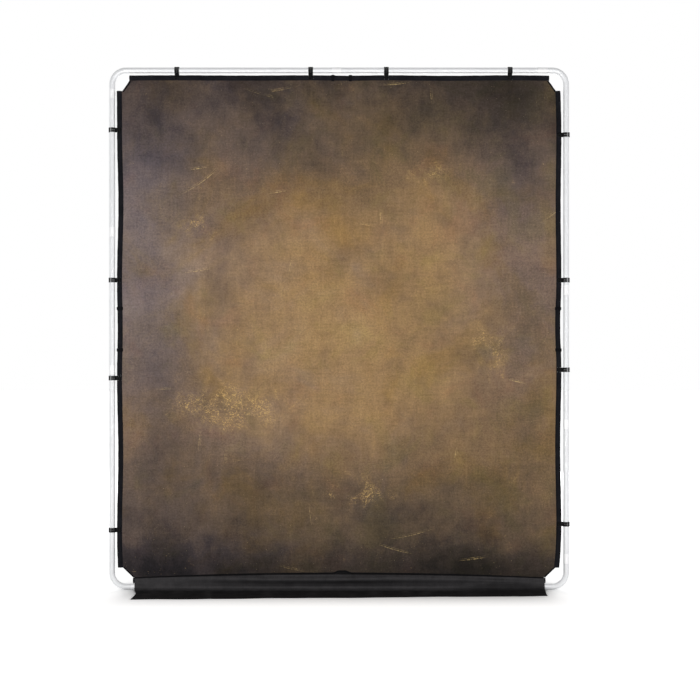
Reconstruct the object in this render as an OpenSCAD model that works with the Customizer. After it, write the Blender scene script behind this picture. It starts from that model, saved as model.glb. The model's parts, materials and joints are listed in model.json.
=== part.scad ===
// Collapsible backdrop panel: a ring of push-fit tubes, a printed cover with battens in its hems,
// clips that hold the cover on the tubes, and a flap that lies on the floor in front.
// The front faces -Y, +Z is up, and the origin is on the floor at the middle of the footprint.

/* [Frame tubes] */
// Outside width of the tube ring
frame_w = 2000; // [1900:5:2200]
// Outside height of the tube ring
frame_h = 2270; // [2200:5:2500]
// Outside diameter of the tube
tube_d = 25; // [22:0.5:28]
// Wall of the tube
tube_wall = 1.5; // [1:0.1:2]
// Bend radius of the corners, on the centreline of the tube
bend_r = 60; // [50:1:70]

/* [Tube sections] */
// Long leg of the upper left and lower right corners, from the corner of the centrelines
long_leg = 997.5; // [900:0.5:1100]
// Short leg of three of the corners, from the corner of the centrelines
short_leg = 124; // [122:1:160]
// Rising leg of the lower left corner
left_leg = 921; // [860:1:924]
// Falling leg of the upper right corner
right_leg = 977; // [930:1:985]
// Rising leg of the lower right corner
right_low_leg = 100; // [98:1:130]

/* [Tube joints] */
// Length of a spigot inside the tube that slides over it
spigot_insert = 40; // [30:1:45]
// Length of a spigot inside the tube that it is fixed in
spigot_root = 25; // [20:1:28]
// Wall of a spigot
spigot_wall = 1.5; // [1:0.1:2]
// Clearance all round a spigot
spigot_clear = 0.12; // [0.08:0.01:0.2]
// Length of the bright sleeve on the mouth of a tube
ferrule_len = 42; // [30:1:48]
// Wall of the sleeve
ferrule_wall = 0.7; // [0.5:0.1:1.2]
// Clearance between the sleeve and its tube
ferrule_clear = 0.05; // [0.02:0.01:0.1]
// Gap left between the ends of two tubes
joint_gap = 0.3; // [0.2:0.1:0.6]

/* [Hems] */
// Width of a hem
hem_w = 22; // [20:0.5:24]
// Thickness of a hem over its batten
hem_t = 12; // [11.6:0.1:14]
// Thickness of a hem at its sewn edge
hem_edge_t = 2.4; // [2:0.1:3]
// Thickness of a hem at its free edge
hem_lip_t = 5; // [3:0.1:6]
// Width of the part of a hem that has its full thickness
hem_crown_w = 9; // [8:0.5:10]
// Gap between the tube and the hems at the top and the sides
hem_gap = 8; // [7:0.5:12]
// Gap between the lower tube's sleeves and the bottom hem
bottom_gap = 1.5; // [1:0.1:3]
// Distance from the side tubes' centreline to the ends of the top hem
top_hem_inset = 74; // [70:1:90]
// Distance from the side tubes' centreline to the ends of the bottom hem
bottom_hem_inset = 90; // [86:1:110]
// Distance from the upper tube's centreline to the ends of the side hems
side_hem_drop = 89; // [86:1:110]
// Distance from the lower tube's centreline to the ends of the side hems
side_hem_rise = 82; // [78:1:100]

/* [Battens] */
// Diameter of a batten
batten_d = 8; // [7:0.1:8.4]
// Clearance round a batten in its joiner and its caps
batten_clear = 0.1; // [0.05:0.01:0.15]
// Diameter of the channel in a hem
channel_d = 10; // [10:0.1:10.6]
// Clearance between the channel and the joiners and caps in it
channel_clear = 0.15; // [0.1:0.01:0.2]
// Length of a batten joiner in a side hem
side_joiner = 180; // [150:1:200]
// Length of a batten joiner in the top or bottom hem
cross_joiner = 76; // [60:1:90]
// Distance from the long tube's joint line to the place where the top or bottom battens meet
cross_meet = 1; // [-20:1:20]
// Distance from the lower left joint line up to the place where the left battens meet
left_meet_rise = 198; // [170:1:220]
// Distance from the upper right joint line down to the place where the right battens meet
right_meet_drop = 149; // [120:1:180]
// Length of a batten end cap
cap_len = 14; // [10:1:18]
// Thickness of the end of a cap
cap_end = 2; // [1:0.1:3]
// Distance of a cap from the end of its hem
cap_inset = 1; // [0.5:0.1:3]

/* [Keeper bands] */
// Length of a band along its hem
keeper_len = 15; // [10:1:20]
// Thickness of a band
keeper_t = 1.2; // [0.8:0.1:1.4]
// Clearance between a band and its hem
keeper_clear = 0.1; // [0.05:0.01:0.2]

/* [Printed panel] */
// Thickness of the printed cloth
panel_t = 1.2; // [0.8:0.1:1.6]
// Distance from the end of a hem to the diagonal cut of the corner
corner_inset = 5; // [4:1:8]
// Width of the binding along a diagonal cut
binding_w = 6; // [4:0.5:8]
// Thickness of the binding on each side of the cloth
binding_t = 0.6; // [0.4:0.1:0.8]
// Clearance between the binding and the cloth
binding_clear = 0.05; // [0.02:0.01:0.1]

/* [Clips] */
// Width of a clip along its tube
clip_w = 20; // [16:0.5:24]
// Thickness of the hook
clip_t = 2.7; // [2:0.1:3.5]
// Clearance between the hook and the sides of the tube
clip_clear = 0.8; // [0.6:0.05:1]
// Clearance between the hook and the front of the tube
clip_front_clear = 0.4; // [0.3:0.05:0.6]
// Reach of the outer leg behind the centre of the tube
clip_grip = 4.5; // [3:0.1:5]
// Reach of the inner jaw behind the centre of the tube
clip_jaw = 2; // [1:0.1:2.5]
// Reach of the inner jaw in front of the centre of the tube
clip_neck = 3; // [2:0.1:4]
// Wall of the eye round the batten
eye_wall = 2.4; // [2:0.1:3]
// Clearance of the eye on the batten
eye_clear = 0.15; // [0.1:0.01:0.2]
// Clearance between a clip and its notch in the hem
notch_clear = 1; // [0.6:0.1:2]
// Distance of the outer top clips from the left and right ends of the top hem
top_clip_inset = [207.5, 170.5]; // [120:0.5:260]
// Distance of the inner top clips from the joint line of the upper tube, to its left and right
top_clip_spread = [134, 195]; // [100:1:260]
// Distance of the highest side clips from the upper ends of the left and right hems
high_clip_drop = [170.25, 191.25]; // [120:0.25:260]
// Distance of the lowest side clips from the lower ends of the left and right hems
low_clip_rise = [163.75, 189.75]; // [120:0.25:260]
// Distance of the second left clip above the place where the left battens meet
left_clip_rise = 213.75; // [150:0.25:260]
// Distance of the third left clip below the lower left joint line
left_clip_drop = 14.25; // [12:0.25:40]
// Distance of the second right clip above the upper right joint line
right_clip_rise = 64.75; // [60:0.25:100]
// Distance of the third right clip below the place where the right battens meet
right_clip_drop = 176.25; // [130:0.25:220]

/* [Floor flap] */
// Width of the flap at its seam
flap_w = 1786; // [1600:1:1800]
// Width of the flap at its front edge
flap_front_w = 1748; // [1600:1:1800]
// Reach of the flap in front of the tube's centreline at its left end
flap_reach_left = 247; // [200:1:300]
// Reach of the flap in front of the tube's centreline at its right end
flap_reach_right = 162; // [140:1:300]
// Thickness of the flap
flap_t = 1.2; // [1:0.1:1.6]
// Clearance between the flap and what it hangs over
flap_clear = 0.35; // [0.3:0.05:1]
// Reach of the curve where the flap meets the floor
flap_fillet = 34; // [20:1:60]
// Depth of the upright folds in the flap
flap_fold = 2.5; // [1:0.1:4]
// Number of upright folds across the flap
flap_folds = 7; // [3:1:12]

/* [Hidden] */
$fn = 64;
bore_d = tube_d - 2 * tube_wall;
sleeve_bore = tube_d + 2 * ferrule_clear;
sleeve_d = sleeve_bore + 2 * ferrule_wall;
spigot_d = bore_d - 2 * spigot_clear;

// Centrelines of the tube ring
side_x = (frame_w - tube_d) / 2;
low_z = sleeve_d / 2;
high_z = low_z + frame_h - tube_d;
frame_y = (flap_reach_left - sleeve_d / 2) / 2;

// Joint lines along the ring
left_z = [low_z + left_leg, (low_z + left_leg + high_z - short_leg) / 2, high_z - short_leg];
right_z = [low_z + right_low_leg, (low_z + right_low_leg + high_z - right_leg) / 2, high_z - right_leg];
top_x = [long_leg - side_x, side_x - short_leg];
bottom_x = [short_leg - side_x, side_x - long_leg];

// Centrelines of the hems, which the battens and the clips share
hook_reach = tube_d / 2 + hem_gap + hem_w / 2;
top_hem_z = high_z - hook_reach;
side_hem_x = side_x - hook_reach;
bottom_hem_z = low_z + sleeve_d / 2 + bottom_gap + hem_w / 2;
top_hem_end = side_x - top_hem_inset;
bottom_hem_end = side_x - bottom_hem_inset;
side_hem_top = high_z - side_hem_drop;
side_hem_foot = low_z + side_hem_rise;
top_meet = top_x[0] + cross_meet;
bottom_meet = bottom_x[1] - cross_meet;
left_meet = left_z[0] + left_meet_rise;
right_meet = right_z[2] - right_meet_drop;
notch_w = clip_w + 2 * notch_clear;

// Places of the clips along their hems
top_clip_x = [
    -top_hem_end + top_clip_inset[0], top_x[0] - top_clip_spread[0],
    top_x[0] + top_clip_spread[1], top_hem_end - top_clip_inset[1]
];
left_clip_z = [
    side_hem_top - high_clip_drop[0], left_meet + left_clip_rise,
    left_z[0] - left_clip_drop, side_hem_foot + low_clip_rise[0]
];
right_clip_z = [
    side_hem_top - high_clip_drop[1], right_z[2] + right_clip_rise,
    right_meet - right_clip_drop, side_hem_foot + low_clip_rise[1]
];

// Edges of the printed panel at the hems
panel_x = side_hem_x - hem_w / 2;
panel_top = top_hem_z - hem_w / 2;
panel_foot = bottom_hem_z + hem_w / 2;
panel_top_end = top_hem_end - corner_inset;
panel_foot_end = bottom_hem_end - corner_inset;

// Radii of a clip
hook_r = tube_d / 2 + clip_clear;
hook_out_r = hook_r + clip_t;
hook_y = clip_clear - clip_front_clear;
eye_r = batten_d / 2 + eye_clear;
eye_out_r = eye_r + eye_wall;

// Section of the floor flap, from the seam down over the hem and the tube to the front edge
keeper_grow = keeper_clear + keeper_t;
keeper_slope = (hem_t - hem_edge_t) / 2 / ((hem_w - hem_crown_w) / 2 + keeper_grow);
keeper_seam_y = hem_edge_t / 2 + keeper_grow * (1 + keeper_slope);
flap_seam_y = keeper_seam_y + flap_clear + flap_t / 2;
flap_tube_y = sleeve_d / 2 + flap_clear + flap_t / 2;
flap_drop = panel_foot - low_z;
flap_upper_steps = 5;
flap_fillet_steps = 4;
flap_floor_steps = 2;
flap_columns = 6 * flap_folds;
flap_rows = flap_upper_steps + flap_fillet_steps + flap_floor_steps;

// Places shared by the sub-parts

// Turns a shape drawn along +Z to point along +X
module along_x() rotate([0, 90, 0]) children();

// Puts a shape at a point of the tube ring's plane
module at(x, z) translate([x, frame_y, z]) children();

// Puts a shape drawn along +Z on a joint line, pointing up
module at_side_joint(side, z) at(side * side_x, z) children();

// Puts a shape drawn along +Z on a joint line of the upper or lower tube, pointing left or right
module at_cross_joint(x, z, side) at(x, z) rotate([0, side * 90, 0]) children();

// A hem's own frame: X runs out towards the tube, Y to the rear, Z along the hem
module on_right_hem() at(side_hem_x, 0) children();
module on_left_hem() at(-side_hem_x, 0) mirror([1, 0, 0]) children();
module on_top_hem() at(0, top_hem_z) rotate([0, -90, 0]) mirror([0, 0, 1]) children();
module on_bottom_hem() at(0, bottom_hem_z) along_x() children();

// A solid between two places along Z
module span(from, to) translate([0, 0, from]) linear_extrude(height = to - from) children();

// Frame tubes

module pipe(length, outer, bore) {
    difference() {
        cylinder(d = outer, h = length);
        translate([0, 0, -1]) cylinder(d = bore, h = length + 2);
    }
}

// A bent corner with one leg along +X and one along +Z, measured from the corner of the centrelines
module corner_tube(leg_x, leg_z) {
    translate([bend_r, 0, 0]) along_x() pipe(leg_x - bend_r, tube_d, bore_d);
    translate([0, 0, bend_r]) pipe(leg_z - bend_r, tube_d, bore_d);
    translate([bend_r, 0, bend_r]) rotate([90, 0, 0]) rotate([0, 0, 180])
        rotate_extrude(angle = 90) translate([bend_r, 0]) difference() {
            circle(d = tube_d);
            circle(d = bore_d);
        }
}

// A straight tube between two heights of one side
module side_tube(side, from, to) at(side * side_x, from + joint_gap) pipe(to - from - joint_gap, tube_d, bore_d);

// A straight tube between two places of the upper or lower tube, short of both joint lines
module cross_tube(from, to, z) at(from + joint_gap, z) along_x() pipe(to - from - 2 * joint_gap, tube_d, bore_d);

module bottom_left_tube() color("silver") at(-side_x, low_z) corner_tube(short_leg, left_leg);
module left_middle_tube() color("silver") side_tube(-1, left_z[0], left_z[1]);
module left_upper_tube() color("silver") side_tube(-1, left_z[1], left_z[2]);
module top_left_tube() color("silver") at(-side_x, high_z) mirror([0, 0, 1])
    corner_tube(long_leg, short_leg - joint_gap);
module top_middle_tube() color("silver") cross_tube(top_x[0], top_x[1], high_z);
module top_right_tube() color("silver") at(side_x, high_z) mirror([1, 0, 0]) mirror([0, 0, 1])
    corner_tube(short_leg, right_leg - joint_gap);
module right_middle_tube() color("silver") side_tube(1, right_z[1], right_z[2]);
module right_lower_tube() color("silver") side_tube(1, right_z[0], right_z[1]);
module bottom_right_tube() color("silver") at(side_x, low_z) mirror([1, 0, 0])
    corner_tube(long_leg, right_low_leg);
module bottom_middle_tube() color("silver") cross_tube(bottom_x[0], bottom_x[1], low_z);

// Spigots, fixed below the joint line and standing out above it

module spigot() color("gainsboro") translate([0, 0, -spigot_root])
    pipe(spigot_root + spigot_insert, spigot_d, spigot_d - 2 * spigot_wall);

module bottom_left_spigot() at_side_joint(-1, left_z[0]) spigot();
module left_middle_spigot() at_side_joint(-1, left_z[1]) spigot();
module left_upper_spigot() at_side_joint(-1, left_z[2]) spigot();
module top_middle_spigots() {
    at_cross_joint(top_x[0], high_z, -1) spigot();
    at_cross_joint(top_x[1], high_z, 1) spigot();
}
module right_middle_spigot() at_side_joint(1, right_z[2]) spigot();
module right_lower_spigot() at_side_joint(1, right_z[1]) spigot();
module bottom_right_spigot() at_side_joint(1, right_z[0]) spigot();
module bottom_middle_spigots() {
    at_cross_joint(bottom_x[0], low_z, -1) spigot();
    at_cross_joint(bottom_x[1], low_z, 1) spigot();
}

// Bright sleeves on the mouths of the tubes that slide over the spigots

module ferrule() color("whitesmoke") translate([0, 0, joint_gap]) pipe(ferrule_len, sleeve_d, sleeve_bore);

module bottom_left_ferrule() at_cross_joint(bottom_x[0], low_z, -1) ferrule();
module left_middle_ferrule() at_side_joint(-1, left_z[0]) ferrule();
module left_upper_ferrule() at_side_joint(-1, left_z[1]) ferrule();
module top_left_ferrules() {
    at_side_joint(-1, left_z[2]) ferrule();
    at_cross_joint(top_x[0], high_z, -1) ferrule();
}
module top_right_ferrules() {
    at_cross_joint(top_x[1], high_z, 1) ferrule();
    at_side_joint(1, right_z[2]) ferrule();
}
module right_middle_ferrule() at_side_joint(1, right_z[1]) ferrule();
module right_lower_ferrule() at_side_joint(1, right_z[0]) ferrule();
module bottom_right_ferrule() at_cross_joint(bottom_x[1], low_z, 1) ferrule();

// Hems

// Outline of a hem across its length, grown by the same amount on every side
module hem_outline(grow = 0) {
    upper = [
        [-hem_w / 2 - grow, hem_edge_t / 2 + grow],
        [-hem_crown_w / 2, hem_t / 2 + grow],
        [hem_crown_w / 2, hem_t / 2 + grow],
        [hem_w / 2 + grow, hem_lip_t / 2 + grow]
    ];
    lower = [for (i = [len(upper) - 1:-1:0]) [upper[i][0], -upper[i][1]]];
    polygon(concat(upper, lower));
}

// A hem between two places, with its channel and a notch at each clip
module hem(from, to, clips) color([0.1, 0.1, 0.12]) difference() {
    span(from, to) difference() {
        hem_outline();
        circle(d = channel_d);
    }
    for (place = clips)
        span(place - notch_w / 2, place + notch_w / 2)
            translate([-eye_out_r - notch_clear, -hem_t]) square([hem_w + eye_out_r, 2 * hem_t]);
}

module top_hem() on_top_hem() hem(-top_hem_end, top_hem_end, top_clip_x);
module left_hem() on_left_hem() hem(side_hem_foot, side_hem_top, left_clip_z);
module right_hem() on_right_hem() hem(side_hem_foot, side_hem_top, right_clip_z);
module bottom_hem() on_bottom_hem() hem(-bottom_hem_end, bottom_hem_end, []);

// Battens, in two halves that meet in a joiner

module battens(from, meet, to) color([0.75, 0.72, 0.6]) {
    span(from + cap_inset + cap_end, meet - joint_gap / 2) circle(d = batten_d);
    span(meet + joint_gap / 2, to - cap_inset - cap_end) circle(d = batten_d);
}

module top_battens() on_top_hem() battens(-top_hem_end, top_meet, top_hem_end);
module left_battens() on_left_hem() battens(side_hem_foot, left_meet, side_hem_top);
module right_battens() on_right_hem() battens(side_hem_foot, right_meet, side_hem_top);
module bottom_battens() on_bottom_hem() battens(-bottom_hem_end, bottom_meet, bottom_hem_end);

// Sleeves that join the halves of a batten

module joiner(meet, length) color("slategray") span(meet - length / 2, meet + length / 2) difference() {
    circle(d = channel_d - 2 * channel_clear);
    circle(d = batten_d + 2 * batten_clear);
}

module top_joiner() on_top_hem() joiner(top_meet, cross_joiner);
module left_joiner() on_left_hem() joiner(left_meet, side_joiner);
module right_joiner() on_right_hem() joiner(right_meet, side_joiner);
module bottom_joiner() on_bottom_hem() joiner(bottom_meet, cross_joiner);

// Caps on both outer ends of a batten

module cap() color([0.15, 0.15, 0.16]) difference() {
    cylinder(d = channel_d - 2 * channel_clear, h = cap_len);
    translate([0, 0, cap_end]) cylinder(d = batten_d + 2 * batten_clear, h = cap_len);
}

module caps(from, to) {
    translate([0, 0, from + cap_inset]) cap();
    translate([0, 0, to - cap_inset]) mirror([0, 0, 1]) cap();
}

module batten_caps() {
    on_top_hem() caps(-top_hem_end, top_hem_end);
    on_left_hem() caps(side_hem_foot, side_hem_top);
    on_right_hem() caps(side_hem_foot, side_hem_top);
    on_bottom_hem() caps(-bottom_hem_end, bottom_hem_end);
}

// Bands round a hem over the two ends of its joiner, open where the panel is sewn in

module keepers(meet, length) color([0.07, 0.07, 0.08])
    for (end = [-1, 1])
        span(meet + end * length / 2 - keeper_len / 2, meet + end * length / 2 + keeper_len / 2) difference() {
            hem_outline(keeper_grow);
            hem_outline(keeper_clear);
            translate([-hem_w, -panel_t / 2 - keeper_clear]) square([hem_w, panel_t + 2 * keeper_clear]);
        }

module top_keepers() on_top_hem() keepers(top_meet, cross_joiner);
module left_keepers() on_left_hem() keepers(left_meet, side_joiner);
module right_keepers() on_right_hem() keepers(right_meet, side_joiner);
module bottom_keepers() on_bottom_hem() keepers(bottom_meet, cross_joiner);

// Printed panel, stretched between the sewn edges of the hems

// The right half of the outline, from the lower edge up
panel_right = [
    [panel_foot_end, panel_foot], [panel_x, side_hem_foot + corner_inset],
    [panel_x, side_hem_top - corner_inset], [panel_top_end, panel_top]
];

module backdrop_panel() color([0.5, 0.42, 0.3]) at(0, 0) rotate([90, 0, 0])
    linear_extrude(height = panel_t, center = true)
        polygon(concat(panel_right, [for (i = [len(panel_right) - 1:-1:0]) [-panel_right[i][0], panel_right[i][1]]]));

// A folded strip over the edge between two corners of the panel
module binding(from, to) {
    run = to - from;
    slot = panel_t + 2 * binding_clear;
    thick = slot + 2 * binding_t;
    at(from[0], from[1]) rotate([0, -atan2(run[1], run[0]), 0]) along_x() span(binding_w, norm(run) - binding_w)
        difference() {
            translate([-binding_w, -thick / 2]) square([binding_w + binding_t + binding_clear, thick]);
            translate([-2 * binding_w, -slot / 2]) square([2 * binding_w + binding_clear, slot]);
        }
}

module corner_bindings() color([0.07, 0.07, 0.08])
    for (side = [0, 1]) mirror([side, 0, 0]) {
        binding(panel_right[0], panel_right[1]);
        binding(panel_right[2], panel_right[3]);
    }

// Clips: a hook over the front of the tube, open to the rear, and an eye round the batten

module clip_outline() difference() {
    union() {
        circle(r = eye_out_r);
        translate([0, -clip_neck]) square([hook_reach - hook_r, clip_neck + clip_jaw]);
        intersection() {
            translate([hook_reach, hook_y]) difference() {
                circle(r = hook_out_r);
                circle(r = hook_r);
            }
            translate([hook_reach - hook_out_r, hook_y - hook_out_r]) square([2 * hook_out_r, hook_out_r]);
        }
        translate([hook_reach + hook_r, hook_y]) square([clip_t, clip_grip - hook_y]);
    }
    circle(r = eye_r);
}

module clip(place) color([0.03, 0.03, 0.03]) span(place - clip_w / 2, place + clip_w / 2) clip_outline();

module top_clip_1() on_top_hem() clip(top_clip_x[0]);
module top_clip_2() on_top_hem() clip(top_clip_x[1]);
module top_clip_3() on_top_hem() clip(top_clip_x[2]);
module top_clip_4() on_top_hem() clip(top_clip_x[3]);
module left_clip_1() on_left_hem() clip(left_clip_z[0]);
module left_clip_2() on_left_hem() clip(left_clip_z[1]);
module left_clip_3() on_left_hem() clip(left_clip_z[2]);
module left_clip_4() on_left_hem() clip(left_clip_z[3]);
module right_clip_1() on_right_hem() clip(right_clip_z[0]);
module right_clip_2() on_right_hem() clip(right_clip_z[1]);
module right_clip_3() on_right_hem() clip(right_clip_z[2]);
module right_clip_4() on_right_hem() clip(right_clip_z[3]);

// Floor flap: a sheet that hangs from the seam over the hem and the tube and runs out on the floor

// Depth of the upright folds at a place across the flap, from -1 at the left end to 1
function fold(u) = flap_fold * (0.5 - 0.5 * cos(180 * flap_folds * (u + 1)));

// Reach of the front edge at a place across the flap
function reach(u) = (flap_reach_left + flap_reach_right) / 2 - u * (flap_reach_left - flap_reach_right) / 2;

// Middle of the sheet as [forward, up] at step i of its section
function flap_upper(t, u) = [
    flap_seam_y + (flap_tube_y - flap_seam_y) * sin(90 * pow(t, 0.7)) + fold(u) * sin(90 * t),
    panel_foot - flap_drop * t
];
function flap_curve(a, u) = [
    flap_tube_y + fold(u) + flap_fillet * (1 - cos(a)),
    low_z - (low_z - flap_t / 2) * sin(a)
];
function flap_floor(t, u) = [
    flap_tube_y + fold(u) + flap_fillet + (reach(u) - flap_tube_y - fold(u) - flap_fillet) * t,
    flap_t / 2
];
function flap_middle(i, u) =
    i <= flap_upper_steps ? flap_upper(i / flap_upper_steps, u)
    : i <= flap_upper_steps + flap_fillet_steps ? flap_curve(90 * (i - flap_upper_steps) / flap_fillet_steps, u)
    : flap_floor((i - flap_upper_steps - flap_fillet_steps) / flap_floor_steps, u);

// A point of the sheet's face, half a thickness from the middle on the given side
function flap_point(i, u, face) =
    let (
        here = flap_middle(i, u),
        run = flap_middle(min(i + 1, flap_rows), u) - flap_middle(max(i - 1, 0), u),
        out = i >= flap_upper_steps + flap_fillet_steps ? [0, 1] : [-run[1], run[0]] / norm(run),
        half_w = (flap_w + (flap_front_w - flap_w) * here[0] / reach(u)) / 2,
        p = here + face * out * flap_t / 2
    ) [u * half_w, frame_y - p[0], p[1]];

// Number of a point of the sheet, and two triangles over four corners given in turn
function id(face, c, r) = (face * (flap_columns + 1) + c) * (flap_rows + 1) + r;
function quad(a, b, c, d) = [[a, b, c], [a, c, d]];

module floor_flap() color([0.12, 0.12, 0.12]) {
    points = [
        for (face = [1, -1]) for (c = [0:flap_columns]) for (r = [0:flap_rows])
            flap_point(r, 2 * c / flap_columns - 1, face)
    ];
    front = [
        for (c = [0:flap_columns - 1]) for (r = [0:flap_rows - 1])
            each quad(id(0, c, r), id(0, c + 1, r), id(0, c + 1, r + 1), id(0, c, r + 1))
    ];
    back = [
        for (c = [0:flap_columns - 1]) for (r = [0:flap_rows - 1])
            each quad(id(1, c, r), id(1, c, r + 1), id(1, c + 1, r + 1), id(1, c + 1, r))
    ];
    seam_and_front = [
        for (c = [0:flap_columns - 1]) each concat(
            quad(id(0, c, 0), id(1, c, 0), id(1, c + 1, 0), id(0, c + 1, 0)),
            quad(id(0, c, flap_rows), id(0, c + 1, flap_rows), id(1, c + 1, flap_rows), id(1, c, flap_rows))
        )
    ];
    ends = [
        for (r = [0:flap_rows - 1]) each concat(
            quad(id(0, 0, r), id(0, 0, r + 1), id(1, 0, r + 1), id(1, 0, r)),
            quad(id(0, flap_columns, r), id(1, flap_columns, r),
                id(1, flap_columns, r + 1), id(0, flap_columns, r + 1))
        )
    ];
    polyhedron(points = points, faces = concat(front, back, seam_and_front, ends), convexity = 6);
}

bottom_left_tube();
left_middle_tube();
left_upper_tube();
top_left_tube();
top_middle_tube();
top_right_tube();
right_middle_tube();
right_lower_tube();
bottom_right_tube();
bottom_middle_tube();
bottom_left_spigot();
left_middle_spigot();
left_upper_spigot();
top_middle_spigots();
right_middle_spigot();
right_lower_spigot();
bottom_right_spigot();
bottom_middle_spigots();
bottom_left_ferrule();
left_middle_ferrule();
left_upper_ferrule();
top_left_ferrules();
top_right_ferrules();
right_middle_ferrule();
right_lower_ferrule();
bottom_right_ferrule();
backdrop_panel();
corner_bindings();
top_hem();
left_hem();
right_hem();
bottom_hem();
top_battens();
left_battens();
right_battens();
bottom_battens();
top_joiner();
left_joiner();
right_joiner();
bottom_joiner();
batten_caps();
top_keepers();
left_keepers();
right_keepers();
bottom_keepers();
floor_flap();
top_clip_1();
top_clip_2();
top_clip_3();
top_clip_4();
left_clip_1();
left_clip_2();
left_clip_3();
left_clip_4();
right_clip_1();
right_clip_2();
right_clip_3();
right_clip_4();
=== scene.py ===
import json

import bpy
import numpy as np
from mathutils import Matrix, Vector

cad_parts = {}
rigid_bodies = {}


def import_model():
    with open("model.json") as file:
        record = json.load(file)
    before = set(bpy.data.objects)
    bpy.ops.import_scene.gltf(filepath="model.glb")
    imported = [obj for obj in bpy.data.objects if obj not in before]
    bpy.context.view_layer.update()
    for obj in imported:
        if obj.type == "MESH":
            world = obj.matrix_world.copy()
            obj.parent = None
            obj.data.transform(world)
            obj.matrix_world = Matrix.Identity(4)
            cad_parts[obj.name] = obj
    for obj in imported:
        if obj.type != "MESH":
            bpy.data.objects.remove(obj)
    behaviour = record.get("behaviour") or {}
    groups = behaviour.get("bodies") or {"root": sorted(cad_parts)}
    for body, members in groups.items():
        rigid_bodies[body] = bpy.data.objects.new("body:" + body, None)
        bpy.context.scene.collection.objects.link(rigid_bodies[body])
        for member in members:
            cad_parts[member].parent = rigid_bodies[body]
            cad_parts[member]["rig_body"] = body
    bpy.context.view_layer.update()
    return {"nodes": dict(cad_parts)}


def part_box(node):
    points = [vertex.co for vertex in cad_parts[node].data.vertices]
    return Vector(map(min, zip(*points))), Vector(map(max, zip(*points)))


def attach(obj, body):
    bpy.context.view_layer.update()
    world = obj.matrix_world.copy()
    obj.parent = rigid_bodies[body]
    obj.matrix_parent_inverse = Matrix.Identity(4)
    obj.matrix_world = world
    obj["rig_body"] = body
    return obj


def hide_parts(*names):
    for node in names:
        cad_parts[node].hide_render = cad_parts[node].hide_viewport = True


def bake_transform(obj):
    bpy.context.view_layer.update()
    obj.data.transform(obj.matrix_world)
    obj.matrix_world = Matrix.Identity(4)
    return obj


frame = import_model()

scene = bpy.context.scene
UP = np.array([0.0, 0.0, 1.0])
REAR = np.array([0.0, 1.0, 0.0])
RIGHT = np.array([1.0, 0.0, 0.0])
TURN = 2 * np.pi


def corners(node):
    """Lowest and highest corner of a solid, as arrays."""
    low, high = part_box(node)
    return np.array(low), np.array(high)


def middle(node):
    """Middle of a solid's box."""
    low, high = corners(node)
    return (low + high) / 2


# Sizes, in metres
TUBE_R = 0.0125
TUBE_BORE_R = 0.011
SLEEVE_LEN = 0.042
BEND_R = 0.060
JOINT_GAP = 0.0003
MOUTH_RUN = 0.02
CHANNEL_R = 0.005
BATTEN_R = 0.004
JOINER_R, JOINER_BORE_R = 0.00485, 0.0041
KEEPER_LEN = 0.015
NOTCH_W = 0.0206
CLOTH_HALF = 0.0006

# Places of the ring of tubes and of the hems
SIDE_X = -middle("left_middle_tube")[0]
RING_Y = middle("left_middle_tube")[1]
LOW_Z = middle("bottom_middle_tube")[2]
HIGH_Z = middle("top_middle_tube")[2]
PANEL_LOW, PANEL_HIGH = corners("backdrop_panel")


# Skins


def skin(points, loop_u=False, loop_v=False, u=None, v=None):
    """Quads over a grid of points [v, u, xyz]; loop_u and loop_v join the last column or row to the first.

    Returns points, quads, the quads' UV, triangles and the triangles' UV."""
    rows, cols = points.shape[:2]
    index = np.arange(rows * cols).reshape(rows, cols)
    if loop_u:
        index = np.hstack([index, index[:, :1]])
    if loop_v:
        index = np.vstack([index, index[:1]])
    u = np.arange(index.shape[1]) * 0.01 if u is None else u
    v = np.arange(index.shape[0]) * 0.01 if v is None else v
    v = v[:, None] if np.ndim(v) == 1 else v
    uv = np.stack(np.broadcast_arrays(u, v), -1)

    def four(a):
        return np.stack([a[:-1, :-1], a[:-1, 1:], a[1:, 1:], a[1:, :-1]], 2)

    quads = four(index[..., None]).reshape(-1, 4)
    quad_uv = four(uv).reshape(-1, 4, 2)
    return points.reshape(-1, 3), quads, quad_uv, np.zeros((0, 3), int), np.zeros((0, 3, 2))


def capped(rings, u=None, v=None):
    """A closed skin over rings [v, u, xyz], with a fan from each end ring to that ring's middle."""
    rows, cols = rings.shape[:2]
    points, quads, quad_uv, _, _ = skin(rings, loop_u=True, u=u, v=v)
    here = np.arange(cols)
    there = np.roll(here, -1)
    hub = np.full(cols, rows * cols)
    last = (rows - 1) * cols
    tris = np.concatenate([
        np.stack([there, here, hub], -1),
        np.stack([here + last, there + last, hub + 1], -1),
    ])
    points = np.concatenate([points, rings[[0, -1]].mean(1)])
    tri_uv = np.tile(np.array([[0.0, 0.0], [0.002, 0.0], [0.001, 0.002]]), (len(tris), 1, 1))
    return points, quads, quad_uv, tris, tri_uv


def cloth(mid, half, u, v):
    """A closed sheet: a grid of points moved half a thickness to each side along its normals, joined
    round the border."""
    along = np.gradient(mid, axis=0)
    across = np.gradient(mid, axis=1)
    normal = np.cross(across, along)
    normal /= np.linalg.norm(normal, axis=-1, keepdims=True)
    rows, cols = mid.shape[:2]
    front = skin(mid + normal * half[..., None], u=u, v=v)
    back = skin(mid - normal * half[..., None], u=u, v=v)
    count = rows * cols
    index = np.arange(count).reshape(rows, cols)
    border = np.concatenate([index[0, :-1], index[:-1, -1], index[-1, :0:-1], index[:0:-1, 0]])
    following = np.roll(border, -1)
    rim = np.stack([border, border + count, following + count, following], -1)
    rim_uv = np.zeros((len(rim), 4, 2))
    points = np.concatenate([front[0], back[0]])
    quads = np.concatenate([front[1], back[1][:, ::-1] + count, rim])
    quad_uv = np.concatenate([front[2], back[2][:, ::-1], rim_uv])
    return points, quads, quad_uv, front[3], front[4]


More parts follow.
